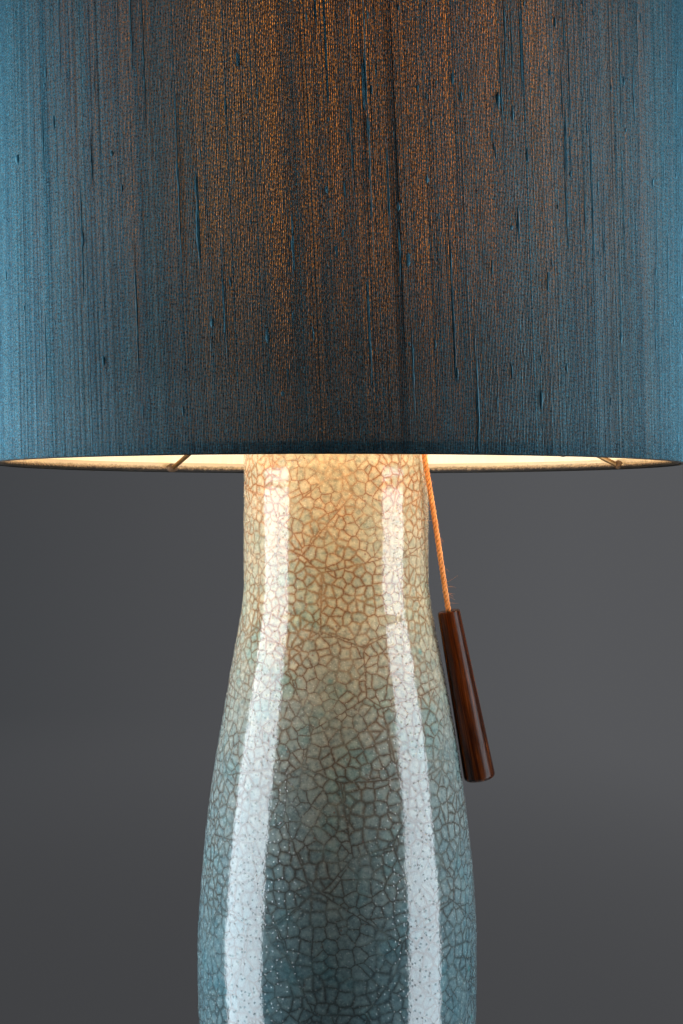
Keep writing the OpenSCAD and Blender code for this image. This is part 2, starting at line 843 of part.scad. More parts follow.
// Turned wooden pull, wider at its lower end, bored for the cord
pull_edge = 0.6;       // bevel of its top edge
dome_fullness = 0.45;  // 1 would be a plain ellipse, less is squarer
dome_steps = 8;
module wooden_pull() {
    straight_l = pull_l - pull_dome;
    color(rosewood)
    along(pull_top, pull_dir)
        difference() {
            rotate_extrude()
                polygon(concat(
                    [[0, 0], [pull_top_r - pull_edge, 0], [pull_top_r, pull_edge]],
                    [for (i = [0 : dome_steps])
                        let (turn = 90 * i / dome_steps)
                        [pull_end_r * pow(cos(turn), dome_fullness), straight_l + pull_dome * sin(turn)]]
                ));
            translate([0, 0, -through])
                cylinder(r = cord_d / 2 + pull_bore_play, h = pull_l + 2 * through);
            translate([0, 0, pull_l - knot_recess_l])
                cylinder(r = knot_recess_r, h = knot_recess_l + through);
        }
}

// Pear-shaped glass of the bulb: a straight neck in the base, a curve, and a round globe
globe_join = 20;       // degrees below its middle where the globe begins
neck_lead = 14;        // how far the neck's upright reaches up the curve
globe_lead = 26;       // how far below the globe's middle the curve heads for
curve_pieces = 10;
module bulb_outline(inset) {
    foot = bulb_neck_z - bulb_neck_in + 2 * inset;
    neck = bulb_neck_r - inset;
    globe = globe_r - inset;
    polygon(concat(
        [[0, foot], [neck, foot]],
        [for (i = [0 : curve_pieces])
            mix4([neck, bulb_neck_z], [neck, bulb_neck_z + neck_lead],
                 [globe - globe_lead * sin(globe_join) / 2, globe_z - globe_lead],
                 [globe * cos(globe_join), globe_z - globe * sin(globe_join)], i / curve_pieces)],
        [for (i = [1 : curve_pieces])
            let (turn = (90 + globe_join) * i / curve_pieces - globe_join)
            [globe * cos(turn), globe_z + globe * sin(turn)]]
    ));
}

module bulb_glass() {
    color([0.97, 0.95, 0.90, 0.6])
    rotate_extrude()
        difference() {
            bulb_outline(0);
            bulb_outline(glass_t);
        }
}

// Screw base, pressed from thin sheet, with a plain band above its thread
base_band_h = 3;
base_thread_d = 0.9;   // depth of the thread
base_ridge_h = 1.9;
base_ridges = 8;
button_r = 5;          // outer radius of the bulb's own contact
base_foot_r = 10;
module bulb_base() {
    in_r = bulb_neck_r + parting;
    color(steel)
    translate([0, 0, bulb_base_z])
        rotate_extrude()
            polygon(concat(
                [[in_r, bulb_base_l], [bulb_base_r, bulb_base_l], [bulb_base_r, bulb_base_l - base_band_h]],
                [for (i = [1 : base_ridges])
                    [bulb_base_r - (i % 2) * base_thread_d, bulb_base_l - base_band_h - i * base_ridge_h]],
                [[base_foot_r, 0], [button_r, 0], [button_r, contact_t], [base_foot_r, 3 * contact_t],
                 [in_r, bulb_base_l - base_band_h - base_ridges * base_ridge_h]]
            ));
}

module bulb_contact() {
    tip_r = button_r / 2;
    color(dark)
    translate([0, 0, bulb_z])
        rotate_extrude()
            polygon([
                [0, 0], [tip_r, 0], [button_r - slip, button_h - 2 * contact_t],
                [button_r - slip, button_h], [0, button_h]
            ]);
}

// Glass stem that carries the filament, flared at its foot
stem_gap = 16;         // from the stem's tip up to the middle of the globe
stem_top = globe_z - stem_gap;
stem_r = 3;
stem_tip_r = 2;
module bulb_stem() {
    foot = bulb_neck_z - bulb_neck_in + 2 * glass_t + parting;
    color([0.9, 0.95, 0.95, 0.5])
    rotate_extrude()
        polygon([
            [0, foot], [bulb_neck_r - glass_t, foot], [2.5 * stem_r, foot + stem_r],
            [stem_r, foot + 4 * stem_r], [stem_r, stem_top - stem_r], [stem_tip_r, stem_top], [0, stem_top]
        ]);
}

// Filament on its two wires, hung as a half circle
crown_r = 13;
crown_h = 14;
filament_wire_r = 0.35;
filament_steps = 16;
module bulb_filament() {
    color(steel)
    for (side = [-1, 1])
        swept_tube([
            [side * stem_tip_r * 0.7, 0, stem_top + slip],
            [side * stem_tip_r * 1.2, 0, stem_top + crown_h * 0.2],
            [side * crown_r * 0.55, 0, stem_top + crown_h * 0.6],
            [side * crown_r, 0, stem_top + crown_h]
        ], filament_wire_r, 6);
    color("orange")
    swept_tube([
        for (i = [0 : filament_steps])
            let (turn = 180 * i / filament_steps)
            [crown_r * cos(turn), crown_r * sin(turn), stem_top + crown_h]
    ], filament_wire_r, 6);
}

// Ring that the shade hangs on, clamped between the two shade rings
module fitter_ring() {
    color(brass)
    translate([0, 0, fitter_z])
        band(holder_r + parting, fitter_ring_r, fitter_ring_t);
}

// Four wires from the fitter ring down to the bottom ring
arm_edge = 0.5;    // from an arm to the edge of the fitter ring
arm_in_r = fitter_ring_r - wire_r - arm_edge;
arm_in_z = fitter_z - wire_r + slip;
module fitter_arms() {
    color(brass)
    for (turn = arm_azimuths)
        rotate([0, 0, turn])
            along([arm_in_r, 0, arm_in_z], unit([ring_r - arm_in_r, 0, bottom_ring_z - arm_in_z]))
                cylinder(r = wire_r, h = norm([ring_r - arm_in_r, bottom_ring_z - arm_in_z]), $fn = 24);
}

module shade_bottom_ring() {
    color(brass)
    translate([0, 0, bottom_ring_z])
        wire_ring(ring_r, wire_r);
}

module shade_top_ring() {
    color(brass)
    translate([0, 0, top_ring_z])
        wire_ring(ring_r, wire_r);
}

module shade_liner() {
    color(cream)
    translate([0, 0, rim_z])
        band(shade_in_r, liner_r, shade_h);
}

// Glued overlap of the liner
module liner_seam() {
    span = 360 * seam_w / (2 * PI * shade_in_r);
    color(cream)
    translate([0, 0, rim_z + hem_h])
        rotate([0, 0, seam_azimuth - span / 2])
            rotate_extrude(angle = span)
                translate([shade_in_r - slip - hem_t, 0])
                    square([hem_t, shade_h - 2 * hem_h]);
}

module silk_cover() {
    color(silk_blue)
    translate([0, 0, rim_z])
        band(liner_r, shade_r, shade_h);
}

// Hem tape: under the edge and up the inside
module hem_section() {
    rotate_extrude()
        polygon([
            [shade_in_r - hem_t, hem_h], [shade_in_r - hem_t, -hem_t], [shade_r, -hem_t],
            [shade_r, 0], [shade_in_r, 0], [shade_in_r, hem_h]
        ]);
}

module bottom_hem() {
    color(silk_blue)
    translate([0, 0, rim_z])
        hem_section();
}

module top_hem() {
    color(silk_blue)
    translate([0, 0, rim_z + shade_h])
        mirror([0, 0, 1])
            hem_section();
}

ceramic_body();
foot_felt();
cord_outlet_bushing();
bottom_washer();
bottom_nut();
lamp_pipe();
neck_gasket();
neck_cap();
neck_lock_nut();
holder_spacer();
lead_wires();
holder_cap();
holder_set_screw();
holder_insert();
terminal_screws();
screw_shell();
centre_contact();
holder_shell();
shade_rest_ring();
shade_ring_nut();
cord_guide();
guide_elbow();
guide_mouth();
guide_nut();
switch_lever();
lever_pin();
return_spring();
guide_cord();
pull_cord();
cord_knot();
wooden_pull();
bulb_glass();
bulb_base();
bulb_contact();
bulb_stem();
bulb_filament();
fitter_ring();
fitter_arms();
shade_bottom_ring();
shade_top_ring();
shade_liner();
liner_seam();
silk_cover();
bottom_hem();
top_hem();
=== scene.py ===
import math
import random

import bmesh
import bpy
from mathutils import Matrix, Vector, kdtree, noise
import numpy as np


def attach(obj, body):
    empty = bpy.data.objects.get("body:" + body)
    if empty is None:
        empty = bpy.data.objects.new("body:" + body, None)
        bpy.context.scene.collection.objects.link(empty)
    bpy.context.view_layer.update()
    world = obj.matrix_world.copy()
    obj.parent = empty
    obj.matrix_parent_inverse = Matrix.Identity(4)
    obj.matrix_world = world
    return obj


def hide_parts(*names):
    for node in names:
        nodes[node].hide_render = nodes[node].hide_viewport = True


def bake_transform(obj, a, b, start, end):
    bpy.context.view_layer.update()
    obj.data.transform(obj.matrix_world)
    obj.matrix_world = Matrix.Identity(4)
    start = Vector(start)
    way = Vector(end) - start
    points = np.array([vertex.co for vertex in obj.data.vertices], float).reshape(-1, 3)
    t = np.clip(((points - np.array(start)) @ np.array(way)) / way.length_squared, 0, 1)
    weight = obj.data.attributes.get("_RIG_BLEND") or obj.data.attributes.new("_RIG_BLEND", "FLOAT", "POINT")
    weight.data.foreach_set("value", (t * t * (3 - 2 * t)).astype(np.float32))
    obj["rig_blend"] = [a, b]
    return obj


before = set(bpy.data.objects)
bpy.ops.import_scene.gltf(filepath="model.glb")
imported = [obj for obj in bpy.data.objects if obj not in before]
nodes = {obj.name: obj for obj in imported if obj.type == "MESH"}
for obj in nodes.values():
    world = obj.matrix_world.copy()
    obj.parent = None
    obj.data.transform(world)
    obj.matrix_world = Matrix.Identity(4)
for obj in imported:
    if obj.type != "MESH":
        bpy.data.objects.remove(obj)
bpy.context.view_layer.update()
SEED = 4
random.seed(SEED)
noise.seed_set(SEED)

# sizes in metres, most of them named as in the part's source
FOOT_Z = 0.002
BODY_H = 0.467
TOP_Z = FOOT_Z + BODY_H
FOOT_R = 0.064
FOOT_RING_W = 0.009
FOOT_RECESS = 0.016
FLOOR_T = 0.008
DECK_T = 0.007
BODY_WALL = 0.0065
BELLY_R = 0.0817
BELLY_Z = 0.160
NECK_R = 0.0542
NECK_L = 0.084
NECK_Z = TOP_Z - NECK_L
LIP_ROUND = 0.008
PIPE_HOLE_R = 0.0051
FOOT_PULL_R, FOOT_PULL_Z = 0.072, 0.040
FOOT_PULL_H = 0.075
SHOULDER_PULL = 0.110
NECK_PULL = 0.024
SHADE_R = 0.200
SHADE_H = 0.305
NECK_COVER = 0.014
RIM_Z = TOP_Z - NECK_COVER
SHADE_TOP_Z = RIM_Z + SHADE_H
ARM_AZIMUTHS = (25, 125, 205, 305)
PULL_L = 0.101
KNOT_RECESS_L = 0.014
GUIDE_H = 0.037
GUIDE_Z = TOP_Z + GUIDE_H
GUIDE_BEND = 0.006
CORD_D = 0.0033
CORD_OFFSETS_MM = [
    (-9.5, -31.5, 20), (-8.4, -30.4, 13), (-7.3, -29.3, 6), (-6.1, -28.2, -1), (-4.8, -27.1, -8.5),
    (-3.4, -25.9, -16), (-2.1, -24.7, -24), (-0.7, -23.4, -32), (0.7, -22.1, -40), (2.1, -20.8, -48.5),
    (3.5, -19.4, -57), (4.9, -18.1, -66), (6.3, -16.7, -75), (7.7, -15.2, -84), (9.2, -13.6, -93.5),
    (10.1, -12.9, -99),
]
CORD_ROUTE = [Vector((NECK_R + x / 1000, y / 1000, TOP_Z + z / 1000)) for x, y, z in CORD_OFFSETS_MM]
CORD_EXIT = CORD_ROUTE[0]
PULL_TOP = CORD_ROUTE[-1]
LEAN_POINT = Vector((0.07862, -0.008, 0.295))
PULL_DIR = (LEAN_POINT - PULL_TOP).normalized()

# sizes of what scene.py alone shows
GLAZE_MAP_R = 0.068      # radius at which the glaze's flat map keeps its sizes
LONG_CRACKS = 24.0       # cells in a metre of the glaze map
SHORT_CRACKS = 156.0
CRACK_W = 0.00054
STAIN_W = 0.0019
BULB_Z = 0.596           # middle of the lit bulb
GLOW_X = 0.022           # the painted glow on the silk is strongest a little right of the middle
SEAM_U = 0.9616          # place of the liner's seam, along the silk's map
YARNS = 1460
YARN_ROWS = 8
YARN_POINTS = 4          # points across a yarn and its gap
THREAD_LEAN = 0.045      # sideways run of the upright threads, for each metre down
SLUBS = 560
CORD_LAY = 0.0082        # length in which a strand of the cord goes round once
LOOSE_FIBRES = 26

# camera
camera_data = bpy.data.cameras.new("camera")
camera = bpy.data.objects.new("camera", camera_data)
bpy.context.scene.collection.objects.link(camera)
camera.location = (0.00235, -1.044, 0.4255)
camera.rotation_euler = (math.radians(90), 0, 0)
camera_data.lens = 62.58
camera_data.sensor_width = 36
camera_data.shift_y = 0.003
bpy.context.scene.camera = camera


# mesh helpers
def added(bm, name, material):
    """Writes a bmesh into a new object at the origin."""
    mesh = bpy.data.meshes.new(name)
    bm.to_mesh(mesh)
    bm.free()
    mesh.materials.append(material)
    piece = bpy.data.objects.new(name, mesh)
    bpy.context.scene.collection.objects.link(piece)
    return piece


def finished(bm, name, body, material, replaced):
    """A smooth piece that rides on a body, if one is given, and stands for CAD nodes."""
    piece = added(bm, name, material)
    for face in piece.data.polygons:
        face.use_smooth = True
    if body:
        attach(piece, body)
    if replaced:
        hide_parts(*replaced)
    return piece


def close_up(bm, distance=1e-7):
    """Merges doubled points and turns the faces outwards."""
    bmesh.ops.remove_doubles(bm, verts=bm.verts[:], dist=distance)
    bmesh.ops.recalc_face_normals(bm, faces=bm.faces[:])


def turned(profile, marks, steps):
    """A closed profile of (radius, height) points, each with a mark, turned round the lamp's axis."""
    bm = bmesh.new()
    layer = bm.verts.layers.float.new("mark")
    verts = [bm.verts.new((r, 0, z)) for r, z in profile]
    for v, mark in zip(verts, marks):
        v[layer] = mark
    edges = [bm.edges.new(pair) for pair in zip(verts, verts[1:] + verts[:1])]
    bmesh.ops.spin(bm, geom=verts + edges, cent=(0, 0, 0), axis=(0, 0, 1), angle=2 * math.pi, steps=steps,
                   use_merge=True, use_duplicate=False)
    close_up(bm)
    return bm


def square_frame(direction, hint=Vector((1, 0, 0))):
    """Two directions square to a direction and to each other."""
    side = (hint - hint.dot(direction) * direction).normalized()
    return side, direction.cross(side)


def tubes(paths, roundness):
    """A bmesh of closed round tubes; each path is a list of (point, radius)."""
    curve = bpy.data.curves.new("tubes", "CURVE")
    curve.dimensions = "3D"
    curve.bevel_depth = 1.0
    curve.bevel_resolution = roundness
    curve.use_fill_caps = True
    for path in paths:
        spline = curve.splines.new("POLY")
        spline.points.add(len(path) - 1)
        for point, (place, radius) in zip(spline.points, path):
            point.co = (*place, 1)
            point.radius = radius
    holder = bpy.data.objects.new("tubes", curve)
    bpy.context.scene.collection.objects.link(holder)
    mesh = bpy.data.meshes.new_from_object(holder.evaluated_get(bpy.context.evaluated_depsgraph_get()))
    bm = bmesh.new()
    bm.from_mesh(mesh)
    bpy.data.objects.remove(holder)
    bpy.data.curves.remove(curve)
    bpy.data.meshes.remove(mesh)
    close_up(bm)
    return bm


def spread(points, step):
    """The points of a route, at an even spacing along it."""
    out, left = [points[0].copy()], step
    for a, b in zip(points, points[1:]):
        gap = (b - a).length
        while left <= gap:
            out.append(a.lerp(b, left / gap))
            left += step
        left -= gap
    if (out[-1] - points[-1]).length < step / 2:
        out.pop()
    return out + [points[-1].copy()]


def rounded_route(points, passes=2):
    """A route with its corners softened, its ends kept."""
    route = [p.copy() for p in points]
    for _ in range(passes):
        inner = [(a + 2 * b + c) / 4 for a, b, c in zip(route, route[1:], route[2:])]
        route = [route[0]] + inner + [route[-1]]
    return route


def laid_strands(route, strand_r, rope_r, roundness):
    """Three twisted strands of a cord along an evenly spaced route, marked with how deep each point lies."""
    side = None
    frames = []
    for i, point in enumerate(route):
        ahead = (route[min(i + 1, len(route) - 1)] - route[max(i - 1, 0)]).normalized()
        hint = side or (Vector((1, 0, 0)) if abs(ahead.x) < 0.9 else Vector((0, 1, 0)))
        side, other = square_frame(ahead, hint)
        frames.append((point, side, other))
    step = (route[1] - route[0]).length
    paths = []
    for k in range(3):
        path = []
        for i, (point, side, other) in enumerate(frames):
            turn = 2 * math.pi * (k / 3 + i * step / CORD_LAY)
            out = math.cos(turn) * side + math.sin(turn) * other
            path.append((point + (rope_r - strand_r) * out, strand_r))
        paths.append(path)
    bm = tubes(paths, roundness)
    # this depth mark is what the cord's material uses to paint shade in the grooves
    groove_shade = bm.verts.layers.float.new("groove_shade")
    tree = kdtree.KDTree(len(frames))
    for i, (point, _, _) in enumerate(frames):
        tree.insert(point, i)
    tree.balance()
    for v in bm.verts:
        point, side, other = frames[tree.find(v.co)[1]]
        off = v.co - point
        v[groove_shade] = min(1.0, (rope_r - math.hypot(off.dot(side), off.dot(other))) / strand_r)
    return bm


# shader helpers
def link(tree, a, b):
    tree.links.new(a, b)


def node(tree, kind, **values):
    """Adds a node and sets its properties, or its inputs where the name is one of theirs."""
    n = tree.nodes.new("ShaderNode" + kind)
    for key, value in values.items():
        spaced = key.replace("_", " ")
        if spaced in n.inputs:
            n.inputs[spaced].default_value = value
        else:
            setattr(n, key, value)
    return n


def math_node(tree, operation, a, b=None):
    """One step of arithmetic; each value is a socket or a number."""
    n = node(tree, "Math", operation=operation)
    for i, value in enumerate((a, b)):
        if value is None:
            continue
        if isinstance(value, (int, float)):
            n.inputs[i].default_value = value
        else:
            link(tree, value, n.inputs[i])
    return n.outputs[0]


def times(tree, first, *others):
    for value in others:
        first = math_node(tree, "MULTIPLY", first, value)
    return first


def plus(tree, a, b):
    return math_node(tree, "ADD", a, b)


def minus(tree, a, b):
    return math_node(tree, "SUBTRACT", a, b)


def apart(tree, a, b):
    """How far two values are from each other."""
    return math_node(tree, "ABSOLUTE", minus(tree, a, b))


def swung(tree, value, amount):
    """A cloud's value, swung about nought by an amount."""
    return times(tree, minus(tree, value, 0.5), amount)


def shares(tree, a, share_of_a, b, share_of_b):
    """Two values added up by their shares."""
    return plus(tree, times(tree, a, share_of_a), times(tree, b, share_of_b))


def between(tree, value, low, high, to_low=0.0, to_high=1.0, smooth=True):
    """A value taken from one range to another."""
    n = node(tree, "MapRange", interpolation_type="SMOOTHSTEP" if smooth else "LINEAR",
             From_Min=low, From_Max=high, To_Min=to_low, To_Max=to_high)
    link(tree, value, n.inputs["Value"])
    return n.outputs["Result"]


def mixed(tree, factor, a, b, blend="MIX"):
    """Two colours mixed by a factor; each is a socket or a colour."""
    n = node(tree, "Mix", data_type="RGBA", blend_type=blend)
    for socket, value in ((n.inputs["Factor"], factor), (n.inputs[6], a), (n.inputs[7], b)):
        if isinstance(value, (int, float)):
            socket.default_value = value
        elif isinstance(value, tuple):
            socket.default_value = (*value, 1)
        else:
            link(tree, value, socket)
    return n.outputs[2]


def tinted(tree, colour, tint):
    return mixed(tree, 1.0, colour, tint, "MULTIPLY")


def blended(tree, factor, a, b):
    """Two values mixed by a factor."""
    n = node(tree, "Mix", data_type="FLOAT")
    link(tree, factor, n.inputs[0])
    link(tree, a, n.inputs[2])
    link(tree, b, n.inputs[3])
    return n.outputs[0]


def ramp(tree, value, stops):
    """A colour ramp from (place, colour) stops."""
    n = node(tree, "ValToRGB")
    while len(n.color_ramp.elements) < len(stops):
        n.color_ramp.elements.new(0.5)
    for element, (place, colour) in zip(n.color_ramp.elements, stops):
        element.position = place
        element.color = (*colour, 1)
    link(tree, value, n.inputs["Fac"])
    return n.outputs["Color"]


def two_tone(tree, value, low, high):
    """A ramp between two colours over the middle of a cloud's values."""
    return ramp(tree, value, [(0.3, low), (0.7, high)])


def axes(tree, vector):
    """The X, Y and Z of a vector."""
    n = node(tree, "SeparateXYZ")
    link(tree, vector, n.inputs[0])
    return n.outputs


def own_map(tree, name):
    """One of the piece's own UV maps."""
    return node(tree, "UVMap", uv_map=name).outputs["UV"]


def placed(tree, vector, scale=(1, 1, 1), rotation=(0, 0, 0)):
    n = node(tree, "Mapping", Scale=scale, Rotation=rotation)
    link(tree, vector, n.inputs["Vector"])
    return n.outputs["Vector"]


def shifted(tree, vector, colour, amount):
    """A flat map's vector, moved by a colour's red and green times an amount in metres."""
    n = node(tree, "VectorMath", operation="MULTIPLY_ADD")
    link(tree, colour, n.inputs[0])
    n.inputs[1].default_value = (amount, amount, 0)
    link(tree, vector, n.inputs[2])
    return n.outputs[0]


def cloud(tree, vector, scale, detail=3.0, roughness=0.5, dimensions="3D", output="Fac"):
    n = node(tree, "TexNoise", noise_dimensions=dimensions, Scale=scale, Detail=detail, Roughness=roughness)
    link(tree, vector, n.inputs["Vector"])
    return n.outputs[output]


def drawn_out(tree, vector, scales, detail, roughness=0.5):
    """A cloud with its own scale along each axis."""
    return cloud(tree, placed(tree, vector, scales), 1.0, detail, roughness)


def cells(tree, vector, scale, feature="F1", randomness=1.0, dimensions="3D"):
    n = node(tree, "TexVoronoi", voronoi_dimensions=dimensions, feature=feature,
             Scale=scale, Randomness=randomness)
    link(tree, vector, n.inputs["Vector"])
    return n.outputs


def chance(tree, cell, channel):
    """A random value for each cell: one channel of its colour."""
    n = node(tree, "SeparateColor")
    link(tree, cell["Color"], n.inputs[0])
    return n.outputs[channel]


def dots(tree, cell, core, edge, channel, none_below, all_above):
    """Soft round dots in the middle of those cells whose random value is high."""
    return times(tree, between(tree, cell["Distance"], core, edge, 1.0, 0.0),
                 between(tree, chance(tree, cell, channel), none_below, all_above))


def new_group(name, inputs, outputs):
    """An empty shader node group with float or vector sockets."""
    group = bpy.data.node_groups.new(name, "ShaderNodeTree")
    for title, kind, value in inputs:
        socket = group.interface.new_socket(title, in_out="INPUT", socket_type="NodeSocket" + kind)
        if value is not None:
            socket.default_value = value
    for title in outputs:
        group.interface.new_socket(title, in_out="OUTPUT", socket_type="NodeSocketFloat")
    start = group.nodes.new("NodeGroupInput")
    end = group.nodes.new("NodeGroupOutput")
    return group, start.outputs, end.inputs


def grouped(tree, group, vector, **values):
    """A node group in a material, with its own values."""
    n = tree.nodes.new("ShaderNodeGroup")
    n.node_tree = group
    link(tree, vector, n.inputs["Vector"])
    for key, value in values.items():
        n.inputs[key.replace("_", " ")].default_value = value
    return n.outputs


def new_material(name, **values):
    """A new material, its tree, its Principled shader with values set, and its Object coordinates."""
    material = bpy.data.materials.new(name)
    material.use_nodes = True
    tree = material.node_tree
    shader = tree.nodes["Principled BSDF"]
    for key, value in values.items():
        shader.inputs[key.replace("_", " ")].default_value = value
    coordinates = tree.nodes.new("ShaderNodeTexCoord")
    return material, tree, shader, coordinates.outputs["Object"]


def bumped(tree, shader, height, distance, strength=1.0):
    n = node(tree, "Bump", Strength=strength, Distance=distance)
    link(tree, height, n.inputs["Height"])
    link(tree, n.outputs["Normal"], shader.inputs["Normal"])


# shared effects
def crackle_group():
    """Glaze cracks in a flat map, in metres: long cracks first, and shorter ones that end at them."""
    group, given, out = new_group("crackle", [("Vector", "Vector", None)], ["Line", "Depth", "Tone"])
    place = given["Vector"]
    bent = shifted(group, place, cloud(group, place, 150, 5, 0.62, "2D", "Color"), 0.0020)
    long_edge = cells(group, bent, LONG_CRACKS, "DISTANCE_TO_EDGE", 0.95, "2D")["Distance"]
    long_cell = cells(group, bent, LONG_CRACKS, "F1", 0.95, "2D")
    # the short cracks' pattern starts anew in each long crack's cell
    anew = shifted(group, bent, long_cell["Color"], 3.0)
    short_edge = cells(group, anew, SHORT_CRACKS, "DISTANCE_TO_EDGE", 0.95, "2D")["Distance"]
    short_cell = cells(group, anew, SHORT_CRACKS, "F1", 0.95, "2D")
    nearest = math_node(group, "MINIMUM", math_node(group, "DIVIDE", long_edge, LONG_CRACKS),
                        math_node(group, "DIVIDE", short_edge, SHORT_CRACKS))
    ragged = swung(group, cloud(group, place, 900, 2, 0.6, "2D"), 0.0007)
    nearest = plus(group, nearest, ragged)
    link(group, between(group, nearest, 0.0, CRACK_W, 1.0, 0.0), out["Line"])
    link(group, between(group, nearest, 0.0001, STAIN_W), out["Depth"])
    link(group, chance(group, short_cell, 0), out["Tone"])
    return group


def cloth_group():
    """Slubbed cloth: X and Y run across the upright threads, Z along them, in metres."""
    group, given, out = new_group("cloth", [("Vector", "Vector", None)], ["Weave", "Shot", "Band", "Streak"])
    place = given["Vector"]
    grain = drawn_out(group, place, (1150, 1150, 1000), 2, 0.7)
    yarn = drawn_out(group, place, (1300, 1300, 150), 2, 0.6)
    weft = drawn_out(group, place, (150, 150, 1300), 1)
    weave = plus(group, shares(group, grain, 0.64, yarn, 0.20), times(group, weft, 0.16))
    link(group, weave, out["Weave"])
    link(group, drawn_out(group, place, (1050, 1050, 850), 1, 0.6), out["Shot"])
    link(group, drawn_out(group, place, (110, 110, 3), 4, 0.62), out["Band"])
    link(group, between(group, drawn_out(group, place, (430, 430, 4), 2), 0.63, 0.72), out["Streak"])
    return group


def patina_group():
    """Handling marks on metal: dull patches, fine scratches and a height for both."""
    group, given, out = new_group(
        "patina", [("Vector", "Vector", None), ("Patch size", "Float", 90.0)],
        ["Dull", "Scratches", "Height"])
    patches = node(group, "TexNoise", Detail=5)
    link(group, given["Vector"], patches.inputs["Vector"])
    link(group, given["Patch size"], patches.inputs["Scale"])
    dull = between(group, patches.outputs["Fac"], 0.38, 0.66)
    fine = drawn_out(group, given["Vector"], (90, 1100, 900), 2)
    link(group, dull, out["Dull"])
    link(group, between(group, fine, 0.58, 0.72), out["Scratches"])
    link(group, plus(group, times(group, dull, 0.4), fine), out["Height"])
    return group


CRACKLE = crackle_group()
CLOTH = cloth_group()
PATINA = patina_group()


# materials
def glaze_cracks(tree, place, at):
    """The cracks' lines, depth and tone all round; some of the lines are fainter than others."""
    # the map's two ends meet at the back, where the second one fades into the first
    front = grouped(tree, CRACKLE, own_map(tree, "glaze"))
    back = grouped(tree, CRACKLE, own_map(tree, "glaze_back"))
    turn = math_node(tree, "ARCTAN2", at["X"], times(tree, at["Y"], -1.0))
    at_back = between(tree, turn, -3.05, -2.75, 1.0, 0.0)
    marks = ("Line", "Depth", "Tone")
    line, depth, tone = (blended(tree, at_back, front[mark], back[mark]) for mark in marks)
    fading = between(tree, cloud(tree, place, 60, 3), 0.36, 0.58, 0.15, 0.76)
    return times(tree, line, fading), depth, tone


def glaze_colour(tree, place, place_up, line, depth, tone):
    """Cream and peach at the neck, sea green and blue lower down, with stained cracks."""
    glaze = ramp(tree, place_up, [
        (0.06, (0.112, 0.208, 0.245)), (0.36, (0.134, 0.230, 0.265)), (0.47, (0.172, 0.262, 0.290)),
        (0.60, (0.240, 0.308, 0.312)), (0.70, (0.305, 0.345, 0.310)), (0.83, (0.375, 0.390, 0.300)),
        (0.94, (0.425, 0.405, 0.310))])
    crack_tint = ramp(tree, place_up, [
        (0.30, (0.26, 0.22, 0.21)), (0.60, (0.28, 0.15, 0.11)), (0.78, (0.36, 0.13, 0.07)),
        (0.94, (0.46, 0.16, 0.08))])
    stain_tint = ramp(tree, place_up, [
        (0.30, (0.50, 0.47, 0.46)), (0.60, (0.60, 0.47, 0.41)), (0.80, (0.76, 0.50, 0.36)),
        (0.94, (0.86, 0.56, 0.40))])
    shade = mixed(tree, between(tree, tone, 0.0, 1.0, smooth=False), (0.87, 0.92, 0.94), (1.13, 1.07, 1.04))
    toned = tinted(tree, glaze, shade)
    green = times(tree, between(tree, cloud(tree, place, 48, 3), 0.52, 0.68, 0.0, 0.5),
                  between(tree, place_up, 0.72, 0.95, 1.0, 0.3))
    toned = mixed(tree, green, toned, tinted(tree, toned, (0.62, 1.0, 1.08)))
    mottle = ramp(tree, cloud(tree, place, 330, 4, 0.7), [
        (0.36, (0.66, 0.70, 0.72)), (0.50, (1.0, 1.0, 1.0)), (0.64, (1.26, 1.20, 1.15))])
    toned = tinted(tree, toned, mottle)
    patchy = between(tree, cloud(tree, place, 26, 3), 0.35, 0.65, 0.35, 1.0)
    stain = times(tree, minus(tree, 1.0, depth), patchy)
    stained = mixed(tree, stain, toned, tinted(tree, toned, stain_tint))
    return mixed(tree, line, stained, tinted(tree, glaze, crack_tint))


